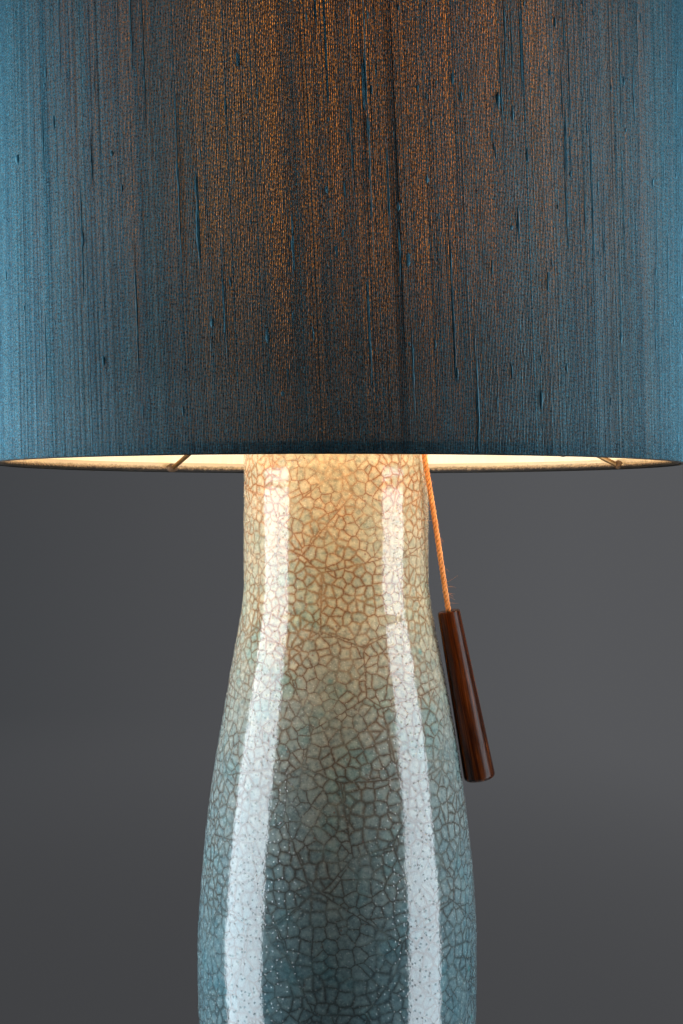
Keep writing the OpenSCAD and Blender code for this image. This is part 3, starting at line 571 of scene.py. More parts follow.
def glaze_material():
    """Celadon crackle glaze, with turquoise spots, iron specks, pin-holes and a bare clay foot."""
    material, tree, shader, place = new_material("crackle_glaze", IOR=1.72)
    at = axes(tree, place)
    drifting = plus(tree, at["Z"], swung(tree, cloud(tree, place, 15, 4, 0.6), 0.10))
    place_up = between(tree, drifting, 0.0, 0.47, smooth=False)
    line, depth, tone = glaze_cracks(tree, place, at)
    colour = glaze_colour(tree, place, place_up, line, depth, tone)
    spot = dots(tree, cells(tree, place, 38), 0.02, 0.12, 0, 0.74, 0.80)
    colour = mixed(tree, times(tree, spot, 0.7), colour, (0.060, 0.33, 0.36))
    speck = dots(tree, cells(tree, place, 175), 0.06, 0.15, 1, 0.76, 0.80)
    speck_colour = ramp(tree, place_up, [(0.4, (0.030, 0.020, 0.016)), (0.9, (0.16, 0.040, 0.012))])
    colour = mixed(tree, times(tree, speck, 0.8), colour, speck_colour)
    clay = between(tree, at["Z"], 0.0042, 0.0052, 1.0, 0.0)
    link(tree, mixed(tree, clay, colour, (0.38, 0.27, 0.18)), shader.inputs["Base Color"])
    pit = dots(tree, cells(tree, own_map(tree, "glaze"), 330, dimensions="2D"), 0.07, 0.20, 0, 0.40, 0.50)
    relief = shares(tree, cloud(tree, place, 800, 2, 0.6), 0.22, cloud(tree, place, 210, 2), 0.50)
    relief = minus(tree, relief, times(tree, pit, 0.7))
    relief = minus(tree, relief, times(tree, line, 0.05))
    bumped(tree, shader, relief, 0.00020, 0.8)
    rough = between(tree, cloud(tree, place, 300, 2), 0.35, 0.7, 0.012, 0.030)
    grains = between(tree, cloud(tree, place, 950, 2, 0.7), 0.60, 0.66, 0.0, 0.35)
    dulled = math_node(tree, "MAXIMUM", times(tree, pit, 0.5), grains)
    dulled = math_node(tree, "MAXIMUM", dulled, times(tree, speck, 0.4))
    rough = plus(tree, rough, dulled)
    link(tree, plus(tree, rough, times(tree, clay, 0.6)), shader.inputs["Roughness"])
    return material


def silk_glow(tree, cloth, seam, gap, at):
    """The bulb's light in the gaps between the yarns, strongest near the bulb's height."""
    glow = ramp(tree, between(tree, at["Z"], RIM_Z, SHADE_TOP_Z, smooth=False), [
        (0.0, (0.029, 0.0150, 0.0055)), (0.20, (0.068, 0.0300, 0.0085)), (0.36, (0.132, 0.0500, 0.0085)),
        (0.52, (0.148, 0.0550, 0.0085)), (0.68, (0.172, 0.0590, 0.0080)), (0.84, (0.146, 0.0500, 0.0080)),
        (1.0, (0.066, 0.0250, 0.0060))])
    # paler to the sides, where the liner's light comes through instead of the bulb's
    off_bulb = apart(tree, at["X"], GLOW_X)
    glow = mixed(tree, between(tree, off_bulb, 0.03, 0.10), glow, tinted(tree, glow, (1.30, 1.55, 1.9)))
    seam_here = times(tree, seam, between(tree, at["Z"], 0.62, 0.72, 1.0, 0.45))
    openness_and_glow_band = times(
        tree,
        between(tree, cloth["Weave"], 0.40, 0.60, 2.2, 0.05, False),
        between(tree, cloth["Shot"], 0.42, 0.60, 0.25, 1.9, False),
        between(tree, cloth["Band"], 0.36, 0.64, 1.5, 0.55, False),
        between(tree, cloth["Streak"], 0.0, 1.0, 1.0, 0.25, False),
        between(tree, seam_here, 0.0, 1.0, 1.0, 0.42, False),
        # painted light: the glow is also painted brighter in an upright band about X = GLOW_X, on the front
        # and back of the cloth, and it turns with the shade
        between(tree, off_bulb, 0.045, 0.12, 1.15, 0.45))
    # the folded hems let nothing through
    open_height = times(tree, between(tree, at["Z"], RIM_Z + 0.0050, RIM_Z + 0.0062),
                        between(tree, at["Z"], SHADE_TOP_Z - 0.006, SHADE_TOP_Z - 0.0052, 1.0, 0.0))
    return tinted(tree, glow, times(tree, openness_and_glow_band, open_height, gap))


def silk_material():
    """Slubbed silk, blue shot with brown, seen with the bulb behind it."""
    material, tree, shader, place = new_material(
        "slub_silk", Roughness=0.55, Specular_IOR_Level=0.04, Emission_Strength=1.0,
        Sheen_Weight=0.10, Sheen_Roughness=0.45, Sheen_Tint=(0.14, 0.50, 0.82, 1.0))
    thread = axes(tree, own_map(tree, "threads"))
    along = node(tree, "CombineXYZ")
    link(tree, thread["X"], along.inputs["X"])
    link(tree, thread["Y"], along.inputs["Z"])
    cloth = grouped(tree, CLOTH, along.outputs[0])
    weave = between(tree, cloth["Weave"], 0.40, 0.60, smooth=False)
    blue = ramp(tree, weave, [
        (0.0, (0.008, 0.030, 0.046)), (0.5, (0.036, 0.160, 0.228)), (1.0, (0.100, 0.350, 0.460))])
    shot = mixed(tree, between(tree, cloth["Shot"], 0.47, 0.56, 0.0, 0.50), blue, (0.190, 0.178, 0.155))
    dark_band = tinted(tree, shot, (0.68, 0.72, 0.77))
    silk = mixed(tree, between(tree, cloth["Band"], 0.34, 0.66), dark_band, shot)
    silk = mixed(tree, times(tree, cloth["Streak"], 0.65), silk, (0.006, 0.022, 0.032))
    gap = axes(tree, own_map(tree, "gaps"))["X"]
    silk = mixed(tree, times(tree, gap, 0.65), silk, (0.170, 0.135, 0.100))
    # painted shade: the glued seam behind the silk holds back the bulb's light, so a dark upright strip is
    # painted where it lies
    seam = between(tree, apart(tree, thread["X"], SEAM_U), 0.0004, 0.0031, 1.0, 0.0)
    silk = mixed(tree, times(tree, seam, 0.35), silk, (0.006, 0.012, 0.016))
    link(tree, silk, shader.inputs["Base Color"])
    # painted light: the bulb's light through the cloth is painted as the silk's own glow
    link(tree, silk_glow(tree, cloth, seam, gap, axes(tree, place)), shader.inputs["Emission Color"])
    bumped(tree, shader, plus(tree, cloth["Weave"], times(tree, cloth["Shot"], 0.4)), 0.0003, 0.8)
    return material


def hem_material():
    """Hem tape: cream where it meets the liner, brown to near black at the shade's very edge, partly the dark
    silk turned over the edge and partly painted shade at the rim.
    """
    material, tree, shader, place = new_material("hem_tape", Roughness=0.8)
    grain = cloud(tree, place, 420, 4, 0.7)
    inward = minus(tree, SHADE_H / 2, apart(tree, axes(tree, place)["Z"], RIM_Z + SHADE_H / 2))
    inward = plus(tree, inward, swung(tree, grain, 0.004))
    # painted shade, in part: the darkening toward the shade's edges stands for shade at the rim; the rest is
    # the hem's dark silk
    tape_and_rim_shade = ramp(tree, between(tree, inward, -0.001, 0.006, smooth=False), [
        (0.05, (0.006, 0.005, 0.004)), (0.34, (0.022, 0.016, 0.012)), (0.50, (0.30, 0.21, 0.14)),
        (0.75, (0.82, 0.68, 0.50))])
    link(tree, tape_and_rim_shade, shader.inputs["Base Color"])
    bumped(tree, shader, grain, 0.0002, 0.6)
    return material


def slub_material():
    """Thick slub yarns: clear blue silk that stands proud of the cloth."""
    material, tree, shader, place = new_material(
        "slub_yarn", Roughness=0.5, Sheen_Weight=0.3, Sheen_Roughness=0.4, Sheen_Tint=(0.4, 0.75, 0.95, 1.0))
    fibres = drawn_out(tree, place, (1800, 1800, 160), 3)
    blue = ramp(tree, fibres, [(0.34, (0.016, 0.080, 0.125)), (0.64, (0.090, 0.340, 0.470))])
    link(tree, blue, shader.inputs["Base Color"])
    bumped(tree, shader, fibres, 0.0002)
    return material


def liner_material():
    """Stiff cream liner, lit from inside, with a faint laid texture."""
    material, tree, shader, place = new_material("cream_liner", Roughness=0.7, Emission_Strength=0.5)
    fibres = drawn_out(tree, place, (500, 500, 90), 4)
    patches = cloud(tree, place, 22, 3)
    cream = two_tone(tree, shares(tree, fibres, 0.5, patches, 0.5), (0.80, 0.72, 0.55), (0.92, 0.86, 0.68))
    link(tree, cream, shader.inputs["Base Color"])
    glow = two_tone(tree, patches, (0.60, 0.50, 0.34), (0.68, 0.58, 0.42))
    link(tree, glow, shader.inputs["Emission Color"])
    bumped(tree, shader, fibres, 0.0001, 0.5)
    return material


def cord_material():
    """Orange cotton, with painted shade in the grooves between the strands."""
    material, tree, shader, place = new_material(
        "orange_cord", Roughness=0.85, Sheen_Weight=0.4, Sheen_Roughness=0.5,
        Sheen_Tint=(1.0, 0.75, 0.5, 1.0))
    fibres = cloud(tree, place, 2600, 4, 0.7)
    yarn = ramp(tree, shares(tree, fibres, 0.65, cloud(tree, place, 140, 2), 0.35), [
        (0.28, (0.34, 0.105, 0.025)), (0.5, (0.76, 0.30, 0.085)), (0.72, (0.95, 0.46, 0.17))])
    # painted shade: how deep a point lies between the strands darkens the cotton there
    depth = node(tree, "Attribute", attribute_name="groove_shade").outputs["Fac"]
    groove_shade = between(tree, depth, 0.12, 0.75, 0.0, 0.85)
    link(tree, mixed(tree, groove_shade, yarn, (0.12, 0.022, 0.004)), shader.inputs["Base Color"])
    bumped(tree, shader, fibres, 0.0003)
    return material


def rosewood_material():
    """Oiled dark wood with streaked grain along the pull."""
    material, tree, shader, place = new_material(
        "rosewood", Roughness=0.34, IOR=1.40, Coat_Weight=0.04, Coat_Roughness=0.22, Specular_IOR_Level=0.25)
    turn = PULL_DIR.to_track_quat("Z", "Y").inverted().to_euler()
    along = placed(tree, place, rotation=tuple(turn))
    streaks = drawn_out(tree, along, (900, 900, 26), 3, 0.6)
    tone = shares(tree, drawn_out(tree, along, (260, 260, 9), 4, 0.6), 0.6, streaks, 0.4)
    wood = ramp(tree, tone, [
        (0.36, (0.005, 0.0010, 0.0002)), (0.50, (0.030, 0.0060, 0.0005)), (0.64, (0.125, 0.028, 0.0020))])
    pore = between(tree, drawn_out(tree, along, (2600, 2600, 110), 2, 0.6), 0.62, 0.72)
    link(tree, mixed(tree, times(tree, pore, 0.7), wood, (0.008, 0.004, 0.002)), shader.inputs["Base Color"])
    bumped(tree, shader, minus(tree, times(tree, streaks, 0.3), pore), 0.00006, 0.8)
    link(tree, between(tree, tone, 0.35, 0.65, 0.19, 0.29, False), shader.inputs["Roughness"])
    return material


def metal_material(name, colour, dark, roughness, patch=90.0):
    """Worn metal: darker and duller in patches, with its own colour in the fine scratches."""
    material, tree, shader, place = new_material(name, Metallic=1.0)
    marks = grouped(tree, PATINA, place, Patch_size=patch)
    base = mixed(tree, times(tree, marks["Dull"], 0.75), colour, dark)
    base = mixed(tree, times(tree, marks["Scratches"], 0.35), base, colour)
    link(tree, base, shader.inputs["Base Color"])
    link(tree, plus(tree, times(tree, marks["Dull"], 0.22), roughness), shader.inputs["Roughness"])
    bumped(tree, shader, marks["Height"], 0.00006, 0.6)
    return material


def fine_material(name, low, high, roughness, scale=400.0, bump=0.0001, **values):
    """A matt or glossy finish with a fine grain: felt, rubber, porcelain and the like."""
    material, tree, shader, place = new_material(name, **values)
    grain = cloud(tree, place, scale, 4, 0.6)
    patches = cloud(tree, place, scale / 12, 2)
    tone = shares(tree, grain, 0.6, patches, 0.4)
    link(tree, two_tone(tree, tone, low, high), shader.inputs["Base Color"])
    rough = between(tree, patches, 0.3, 0.7, roughness - 0.05, roughness + 0.08, False)
    link(tree, rough, shader.inputs["Roughness"])
    bumped(tree, shader, grain, bump, 0.6)
    return material


def bulb_material():
    """Opal glass, lit warm from inside, a little cloudy."""
    material, tree, shader, place = new_material("bulb_glass", Roughness=0.28, Emission_Strength=1.6)
    cloudy = cloud(tree, place, 60, 3)
    opal = two_tone(tree, cloudy, (0.90, 0.84, 0.70), (0.96, 0.92, 0.82))
    link(tree, opal, shader.inputs["Base Color"])
    glow = two_tone(tree, cloudy, (1.0, 0.70, 0.36), (1.0, 0.78, 0.46))
    link(tree, glow, shader.inputs["Emission Color"])
    return material


def clear_glass_material():
    """Clear glass of the bulb's stem."""
    material, tree, shader, place = new_material(
        "clear_glass", Roughness=0.05, Transmission_Weight=0.9, IOR=1.5)
    clear = two_tone(tree, cloud(tree, place, 200, 2), (0.85, 0.92, 0.92), (0.95, 0.98, 0.98))
    link(tree, clear, shader.inputs["Base Color"])
    return material


def filament_material():
    """Glowing coiled wire."""
    material, tree, shader, place = new_material("filament", Roughness=0.5, Emission_Strength=2.0)
    wind = cloud(tree, place, 3000, 2)
    wire = two_tone(tree, wind, (0.30, 0.20, 0.12), (0.60, 0.45, 0.30))
    link(tree, wire, shader.inputs["Base Color"])
    glow = two_tone(tree, wind, (1.0, 0.45, 0.10), (1.0, 0.70, 0.30))
    link(tree, glow, shader.inputs["Emission Color"])
    return material


glaze = glaze_material()
silk = silk_material()
hem_tape = hem_material()
slub_yarn = slub_material()
cream = liner_material()
orange = cord_material()
rosewood = rosewood_material()
brass = metal_material("aged_brass", (0.62, 0.42, 0.16), (0.22, 0.14, 0.06), 0.26)
steel = metal_material("plated_steel", (0.58, 0.58, 0.57), (0.32, 0.31, 0.30), 0.24, 140.0)
wire_brass = metal_material("brass_wire", (0.34, 0.19, 0.075), (0.13, 0.070, 0.030), 0.36, 60.0)
cap_metal = metal_material("bulb_cap_metal", (0.66, 0.62, 0.52), (0.40, 0.36, 0.28), 0.28, 160.0)
solder = fine_material("solder", (0.055, 0.030, 0.016), (0.17, 0.10, 0.055), 0.55, 700.0, 0.0002,
                       Metallic=0.3)
felt = fine_material("felt", (0.020, 0.035, 0.022), (0.060, 0.090, 0.058), 0.92, 1500.0, 0.0006,
                     Sheen_Weight=0.5)
rubber = fine_material("black_rubber", (0.010, 0.010, 0.010), (0.028, 0.027, 0.026), 0.6, 900.0)
insulation = fine_material("wire_insulation", (0.018, 0.017, 0.016), (0.045, 0.042, 0.038), 0.45, 600.0)
porcelain = fine_material("porcelain", (0.70, 0.68, 0.62), (0.84, 0.82, 0.77), 0.18, 250.0, 0.00005)
insulator = fine_material("bulb_insulator", (0.008, 0.008, 0.010), (0.025, 0.024, 0.028), 0.22, 300.0)
bulb_glass = bulb_material()
clear_glass = clear_glass_material()
filament = filament_material()

# every node that isn't named here is brass
FINISH_OF_NODE = {
    "foot_felt": felt, "cord_outlet_bushing": rubber, "neck_gasket": rubber, "lead_wires": insulation,
    "bottom_washer": steel, "bottom_nut": steel, "lamp_pipe": steel, "holder_set_screw": steel,
    "switch_lever": steel, "lever_pin": steel, "return_spring": steel, "holder_insert": porcelain,
    "bulb_glass": bulb_glass, "bulb_base": cap_metal, "bulb_contact": insulator, "bulb_stem": clear_glass,
    "bulb_filament": filament, "fitter_ring": wire_brass, "fitter_arms": wire_brass,
    "shade_bottom_ring": hem_tape, "shade_top_ring": hem_tape, "shade_liner": cream, "liner_seam": cream,
    "wooden_pull": rosewood, "bottom_hem": hem_tape, "top_hem": hem_tape,
}
for name, cad in nodes.items():
    cad.data.materials.clear()
    cad.data.materials.append(FINISH_OF_NODE.get(name, brass))


# the cord, first of all the pieces
def fibre_paths(route):
    """Loose curled fibres that stand off the cord, each tapering to its end."""
    paths = []
    for _ in range(LOOSE_FIBRES):
        start = random.choice(route[20:])
        out = Vector((random.uniform(-1, 1), random.uniform(-1, 0.2), random.uniform(-0.5, 0.6)))
        out.normalize()
        length = random.uniform(0.003, 0.009)
        curl = Vector([random.uniform(-1, 1) for axis in "xyz"]) * length * 0.3
        paths.append([(start + out * (CORD_D * 0.40 + length * t) + curl * t * t, 0.00006 - 0.00004 * t)
                      for t in (0, 0.25, 0.5, 0.75, 1)])
    return paths


def build_pull_cord():
    """Three strands, laid together, from the guide's mouth to the top of the pull."""
    route = spread(rounded_route(CORD_ROUTE), 0.0006)
    bm = laid_strands(route, 0.00090, CORD_D / 2, 2)
    cord = finished(bm, "twisted_cord", "pull", orange, ("pull_cord",))
    fibres = finished(tubes(fibre_paths(route), 0), "cord_fibres", "pull", orange, ())
    return cord, fibres, route


cord, cord_fibres, cord_route = build_pull_cord()


# ceramic body
def on_curve(ends, t):
    """A point on a smooth curve, given by its start, the two points that it heads for, and its end."""
    u = 1 - t
    weights = (u * u * u, 3 * u * u * t, 3 * u * t * t, t * t * t)
    return tuple(sum(w * p for w, p in zip(weights, axis)) for axis in zip(*ends))


def foot_curve(inset, steps=48):
    """The side from the foot up to the belly, by the same curve as in the part's source."""
    belly_r = BELLY_R - inset
    ends = [(FOOT_R - inset, FOOT_Z), (FOOT_PULL_R - inset, FOOT_PULL_Z),
            (belly_r, BELLY_Z - FOOT_PULL_H), (belly_r, BELLY_Z)]
    return [on_curve(ends, i / steps) for i in range(steps + 1)]


def shoulder_curve(inset, steps=60):
    """The side from the belly up to the neck, by the same curve as in the part's source."""
    belly_r, neck_r = BELLY_R - inset, NECK_R - inset
    ends = [(belly_r, BELLY_Z), (belly_r, BELLY_Z + SHOULDER_PULL),
            (neck_r, NECK_Z - NECK_PULL), (neck_r, NECK_Z)]
    return [on_curve(ends, i / steps) for i in range(1, steps + 1)]


def neck_and_lip(neck_steps=20, lip_steps=12):
    """The straight neck and the round lip on it."""
    lip_z = TOP_Z - LIP_ROUND
    neck = [(NECK_R, NECK_Z + (lip_z - NECK_Z) * i / neck_steps) for i in range(1, neck_steps)]
    turns = [math.pi / 2 * i / lip_steps for i in range(lip_steps + 1)]
    lip = [(NECK_R - LIP_ROUND + LIP_ROUND * math.cos(t), lip_z + LIP_ROUND * math.sin(t)) for t in turns]
    return neck + lip


def body_profile():
    """The body's closed section: recess, foot ring, side, deck and cavity, as (radius, height) points."""
    recess_r, recess_z = FOOT_R - FOOT_RING_W, FOOT_Z + FOOT_RECESS
    deck_z, floor_z = TOP_Z - DECK_T, recess_z + FLOOR_T
    recess_edge, ring_edge = 0.0005, 0.0006
    foot = [(PIPE_HOLE_R, recess_z), (recess_r - recess_edge, recess_z), (recess_r, recess_z - recess_edge),
            (recess_r, FOOT_Z + ring_edge), (recess_r + ring_edge, FOOT_Z), (FOOT_R - ring_edge, FOOT_Z),
            (FOOT_R, FOOT_Z + ring_edge)]
    side = [p for p in foot_curve(0) if p[1] > FOOT_Z + 0.001] + shoulder_curve(0) + neck_and_lip()
    deck = [(r, TOP_Z) for r in (0.040, 0.030, 0.018, PIPE_HOLE_R)]
    cavity = [(PIPE_HOLE_R, deck_z), (NECK_R - BODY_WALL, deck_z)] + shoulder_curve(BODY_WALL)[::-6]
    cavity += [p for p in reversed(foot_curve(BODY_WALL)) if p[1] > floor_z + 0.0005][::8]
    cavity += [(0.0620, floor_z), (PIPE_HOLE_R, floor_z)]
    return foot + side + deck + cavity


def glaze_marks(profile):
    """How far along the body's profile each of its points lies, as the glaze map counts it."""
    marks = [0.0]
    for (r0, z0), (r1, z1) in zip(profile, profile[1:]):
        marks.append(marks[-1] + math.hypot(r1 - r0, z1 - z0) * math.sqrt(2 * GLAZE_MAP_R / (r0 + r1)))
    return marks


def map_glaze(bm):
    """Two flat maps of the turned body, in metres: one opened at the back, one opened at the front."""
    mark = bm.verts.layers.float["mark"]
    front, back = bm.loops.layers.uv.new("glaze"), bm.loops.layers.uv.new("glaze_back")
    for face in bm.faces:
        middle = face.calc_center_median()
        facing = math.atan2(middle.x, -middle.y)
        for loop in face.loops:
            x, y, _ = loop.vert.co
            turn = math.atan2(x, -y)
            turn += 2 * math.pi * round((facing - turn) / (2 * math.pi))
            wide = math.sqrt(GLAZE_MAP_R * math.hypot(x, y))
            loop[front].uv = (turn * wide, loop.vert[mark])
            loop[back].uv = ((turn + (2 * math.pi if facing < 0 else 0)) * wide, loop.vert[mark])


def make_uneven(bm):
    """Swells, throwing rings and a neck that leans to the left; the deck's middle and the foot stay true."""
    true_r, true_z = 0.034, 0.006
    lean_from_z, lean_over, lean = 0.30, 0.17, 0.0011
    for v in bm.verts:
        r = math.hypot(v.co.x, v.co.y)
        if r < true_r or v.co.z < true_z:
            continue
        held = min(1.0, (r - true_r) / 0.014) * min(1.0, (v.co.z - true_z) / 0.03)
        swell = noise.noise(v.co * 14) * 0.0006 + noise.noise(v.co * 46) * 0.00016
        rings = 0.00010 * math.sin(v.co.z * 420 + 2 * noise.noise(v.co * 9))
        grow = 1 + held * (swell + rings) / r
        v.co.x *= grow
        v.co.y *= grow
        v.co.x -= held * lean * min(1.0, max(0.0, (v.co.z - lean_from_z) / lean_over))


def build_body():
    """The thrown body: the source's outline, made a little uneven as by hand."""
    profile = body_profile()
    bm = turned(profile, glaze_marks(profile), 224)
    map_glaze(bm)
    make_uneven(bm)
    bmesh.ops.recalc_face_normals(bm, faces=bm.faces[:])
    finished(bm, "glazed_body", "base", glaze, ("ceramic_body",))


build_body()


# shade
def shade_point(along, z, r):
    """A point on the drum: how far round from the right, in radians, with the threads' lean."""
    turn = along + THREAD_LEAN * (SHADE_TOP_Z - z) / SHADE_R
    return Vector((r * math.cos(turn), r * math.sin(turn), z))


def build_silk():
    """The drum of silk: upright yarns that stand proud of narrow gaps, which the bulb shines through."""
    columns = YARNS * YARN_POINTS
    gap_floor_r = SHADE_R - 0.00012
    gap_ends = [random.uniform(0.26, 0.44) for _ in range(YARNS)]
    proud = [random.uniform(0.00012, 0.00028) for _ in range(YARNS)]
    shifts = [random.uniform(-0.2, 0.2) for _ in range(YARNS)]
    bm = bmesh.new()
    made = bmesh.ops.create_grid(bm, x_segments=columns, y_segments=YARN_ROWS, size=1)["verts"]
    threads, gaps = bm.loops.layers.uv.new("threads"), bm.loops.layers.uv.new("gaps")

    def placed_column(x):
        """The yarn, the point across it and the share of the way round, for a column of the flat grid."""
        yarn, part = divmod(round((x + 1) / 2 * columns), YARN_POINTS)
        end = gap_ends[yarn % YARNS]
        across = (0.0, end, end + 0.07, 0.79)[part]
        return yarn % YARNS, part, (yarn + shifts[yarn % YARNS] + across) / YARNS

    for face in bm.faces:
        column = int((face.calc_center_median().x + 1) / 2 * columns)
        in_gap = 1.0 if column % YARN_POINTS == 0 else 0.0
        for loop in face.loops:
            u = placed_column(loop.vert.co.x)[2]
            loop[threads].uv = (u * 2 * math.pi * SHADE_R, (loop.vert.co.y + 1) / 2 * SHADE_H)
            loop[gaps].uv = (in_gap, 0)
    for v in made:
        yarn, part, u = placed_column(v.co.x)
        h = (v.co.y + 1) / 2
        wave = noise.noise(Vector((math.cos(2 * math.pi * u) * 12, math.sin(2 * math.pi * u) * 12, h * 2)))
        r = gap_floor_r + 0.00006 * wave
        if part >= 2:
            r += proud[yarn] * (0.85 + 0.5 * noise.noise(Vector((yarn * 0.7, h * 9, 3))))
        v.co = shade_point(2 * math.pi * u, RIM_Z + h * SHADE_H, r)
    close_up(bm, 1e-6)
    piece = finished(bm, "silk_drum", "shade", silk, ("silk_cover",))
    wall = piece.modifiers.new("cloth", "SOLIDIFY")
    wall.thickness = 0.0003
    wall.offset = -1
    return piece


SLUBS_SEEN = [
    # turn in degrees, height of its upper end, length, width, all on the drum (metres)
    (-86.8, 0.700, 0.165, 0.0013), (-86.4, 0.640, 0.024, 0.0024), (-113.0, 0.633, 0.090, 0.0014),
    (-109.8, 0.594, 0.052, 0.0020), (-96.2, 0.570, 0.034, 0.0017), (-70.8, 0.520, 0.065, 0.0015),
    (-58.8, 0.545, 0.010, 0.0026), (-60.0, 0.487, 0.011, 0.0026), (-52.0, 0.590, 0.026, 0.0018),
    (-67.0, 0.630, 0.009, 0.0030), (-101.0, 0.640, 0.050, 0.0010), (-147.0, 0.615, 0.006, 0.0030),
    (-136.0, 0.629, 0.008, 0.0022), (-64.0, 0.575, 0.016, 0.0018), (-139.0, 0.640, 0.040, 0.0012),
]


def slub_layout():
    """The slubs that the photo shows, and more by chance: their turn, upper end, length and width."""
    layout = [(math.radians(a), z, length, width) for a, z, length, width in SLUBS_SEEN]
    front, back, front_again = -math.pi / 2, math.pi / 2, 3 * math.pi / 2
    for i in range(SLUBS):
        # they lie closest in the half of the cloth to the right of the front
        turn = random.uniform(front, back) if i % 3 else random.uniform(back, front_again)
        long_one = random.random() < 0.22
        length = random.uniform(0.014, 0.070) if long_one else random.uniform(0.002, 0.008)
        width = random.uniform(0.0006, 0.0012) if long_one else random.uniform(0.0008, 0.0020)
        layout.append((turn, RIM_Z + random.uniform(length + 0.004, SHADE_H - 0.004), length, width))
    return layout


def build_slubs():
    """Slub yarns that stand proud of the silk, as tapered spindles on its threads."""
    paths = []
    for turn, top, length, width in slub_layout():
        steps = 6 if length < 0.014 else 22
        drift = random.uniform(-0.3, 0.3) * width
        path = []
        for i in range(steps + 1):
            t = i / steps
            z = top - length * t
            wander = drift * math.sin(3 * t) + 0.0005 * noise.noise(Vector((turn * 9, z * 90, 1)))
            along = turn - THREAD_LEAN * (SHADE_TOP_Z - top) / SHADE_R + wander / SHADE_R
            uneven = 0.75 + 0.75 * noise.noise(Vector((turn * 31, z * 160, 5)))
            fullness = math.sin(math.pi * t) ** 0.6 * uneven
            path.append((shade_point(along, z, SHADE_R + 0.0001), max(0.00006, width / 2 * fullness)))
        paths.append(path)
    return finished(tubes(paths, 0), "slub_yarns", "shade", slub_yarn, ())


def build_solder():
    """Small uneven solder joints where the arms meet the bottom ring."""
    ring_r, lift, liner_clear_r = 0.1956, 0.0024, 0.1984
    joint_r, roughness = 0.0030, 0.0006
    bm = bmesh.new()
    for azimuth in ARM_AZIMUTHS:
        made = bmesh.ops.create_icosphere(bm, subdivisions=3, radius=joint_r)["verts"]
        at = Matrix.Rotation(math.radians(azimuth), 4, "Z") @ Matrix.Translation((ring_r, 0, RIM_Z + lift))
        bmesh.ops.transform(bm, verts=made, matrix=at @ Matrix.Diagonal((0.8, 1.5, 0.95, 1)))
        for v in made:
            v.co += noise.noise_vector(v.co * 420) * roughness
            r = math.hypot(v.co.x, v.co.y)
            if r > liner_clear_r:
                v.co.x *= liner_clear_r / r
                v.co.y *= liner_clear_r / r
    bmesh.ops.recalc_face_normals(bm, faces=bm.faces[:])
    finished(bm, "arm_solder", "shade", solder, ())


silk_drum = build_silk()
slubs = build_slubs()
build_solder()


# cord inside the guide, and its knot in the pull
def build_guide_cord():
    """The cord in the brass guide: level from near the lamp's axis, round the elbow and down to the mouth."""
    down = (CORD_ROUTE[1] - CORD_EXIT).normalized()
    corner = CORD_EXIT + down * ((GUIDE_Z - CORD_EXIT.z) / down.z)
    level = Vector((corner.x, corner.y, 0))
    out, lift = level.normalized(), Vector((0, 0, GUIDE_Z))
    turn = math.acos(out.dot(down))
    elbow_at = out * (level.length - GUIDE_BEND * math.tan(turn / 2)) + lift
    elbow = Vector([round(c, 5) for c in elbow_at])
    square = (down - down.dot(out) * out).normalized()
    route = [out * 0.0043 + lift, elbow]
    for i in range(1, 9):
        part = turn * i / 8
        route.append(elbow + out * GUIDE_BEND * math.sin(part) + square * GUIDE_BEND * (1 - math.cos(part)))
    route.append(CORD_EXIT.copy())
    bm = laid_strands(spread(route, 0.0008), 0.00088, CORD_D / 2, 1)
    piece = finished(bm, "cord_in_guide", None, orange, ("guide_cord",))
    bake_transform(piece, "base", "cord_run", start=tuple(elbow), end=tuple(CORD_EXIT))


def build_knot():
    """The cord's tail in the bored pull, ending in an overhand knot in the recess."""
    side, other = square_frame(PULL_DIR)
    bore_l = PULL_L - KNOT_RECESS_L
    knot_at = PULL_TOP + PULL_DIR * (bore_l + 0.0034)
    knot_r, knot_rise, knot_climb = 0.0021, 0.0019, 0.0014
    tail = [PULL_TOP + PULL_DIR * (0.0002 + bore_l * i / 8) for i in range(9)]
    turns = []
    for i in range(29):
        t = 2 * math.pi * (0.08 + 1.42 * i / 28)
        turns.append(knot_at + side * knot_r * math.cos(t) + other * knot_r * math.sin(t) * math.cos(0.5 * t)
                     + PULL_DIR * (knot_rise * math.sin(1.5 * t) + knot_climb * i / 28))
    end = [turns[-1] + PULL_DIR * 0.0015, knot_at + PULL_DIR * 0.0068 + side * 0.0007]
    route = spread(rounded_route(tail + turns + end, 1), 0.0007)
    finished(laid_strands(route, 0.00078, 0.00145, 1), "cord_tail_knot", "pull", orange, ("cord_knot",))


build_guide_cord()
build_knot()


# floor, backdrop and light
FLOOR_R = 3.0
BACKDROP_R = 2.9
BACKDROP_GREY = (0.078, 0.080, 0.087)
GLOSS_COLOUR = (0.85, 0.93, 1.0)
WASH_COLOUR = (0.83, 0.94, 1.0)
SHADE_BOX_COLOUR = (0.88, 0.96, 1.0)


def backdrop_colour(tree, place):
    """The backdrop's grey, with painted studio light that is darker to the left and close to the lamp, and
    how far off each point is.
    """
    across = between(tree, axes(tree, place)["X"], -0.75, 0.50, smooth=False)
    grey = ramp(tree, across, [
        (0.0, (0.056, 0.059, 0.064)), (0.28, (0.069, 0.071, 0.076)), (1.0, (0.094, 0.096, 0.102))])
    away = node(tree, "VectorMath", operation="LENGTH")
    link(tree, place, away.inputs[0])
    # painted shade: the backdrop's grey is dimmed close to the lamp
    dimmed_near_lamp = between(tree, away.outputs["Value"], 0.35, 2.3, 0.72, 1.0)
    return tinted(tree, grey, dimmed_near_lamp), away.outputs["Value"]


def staged(bm, name, material):
    """A piece of the studio, which isn't part of the lamp."""
    piece = added(bm, name, material)
    return piece


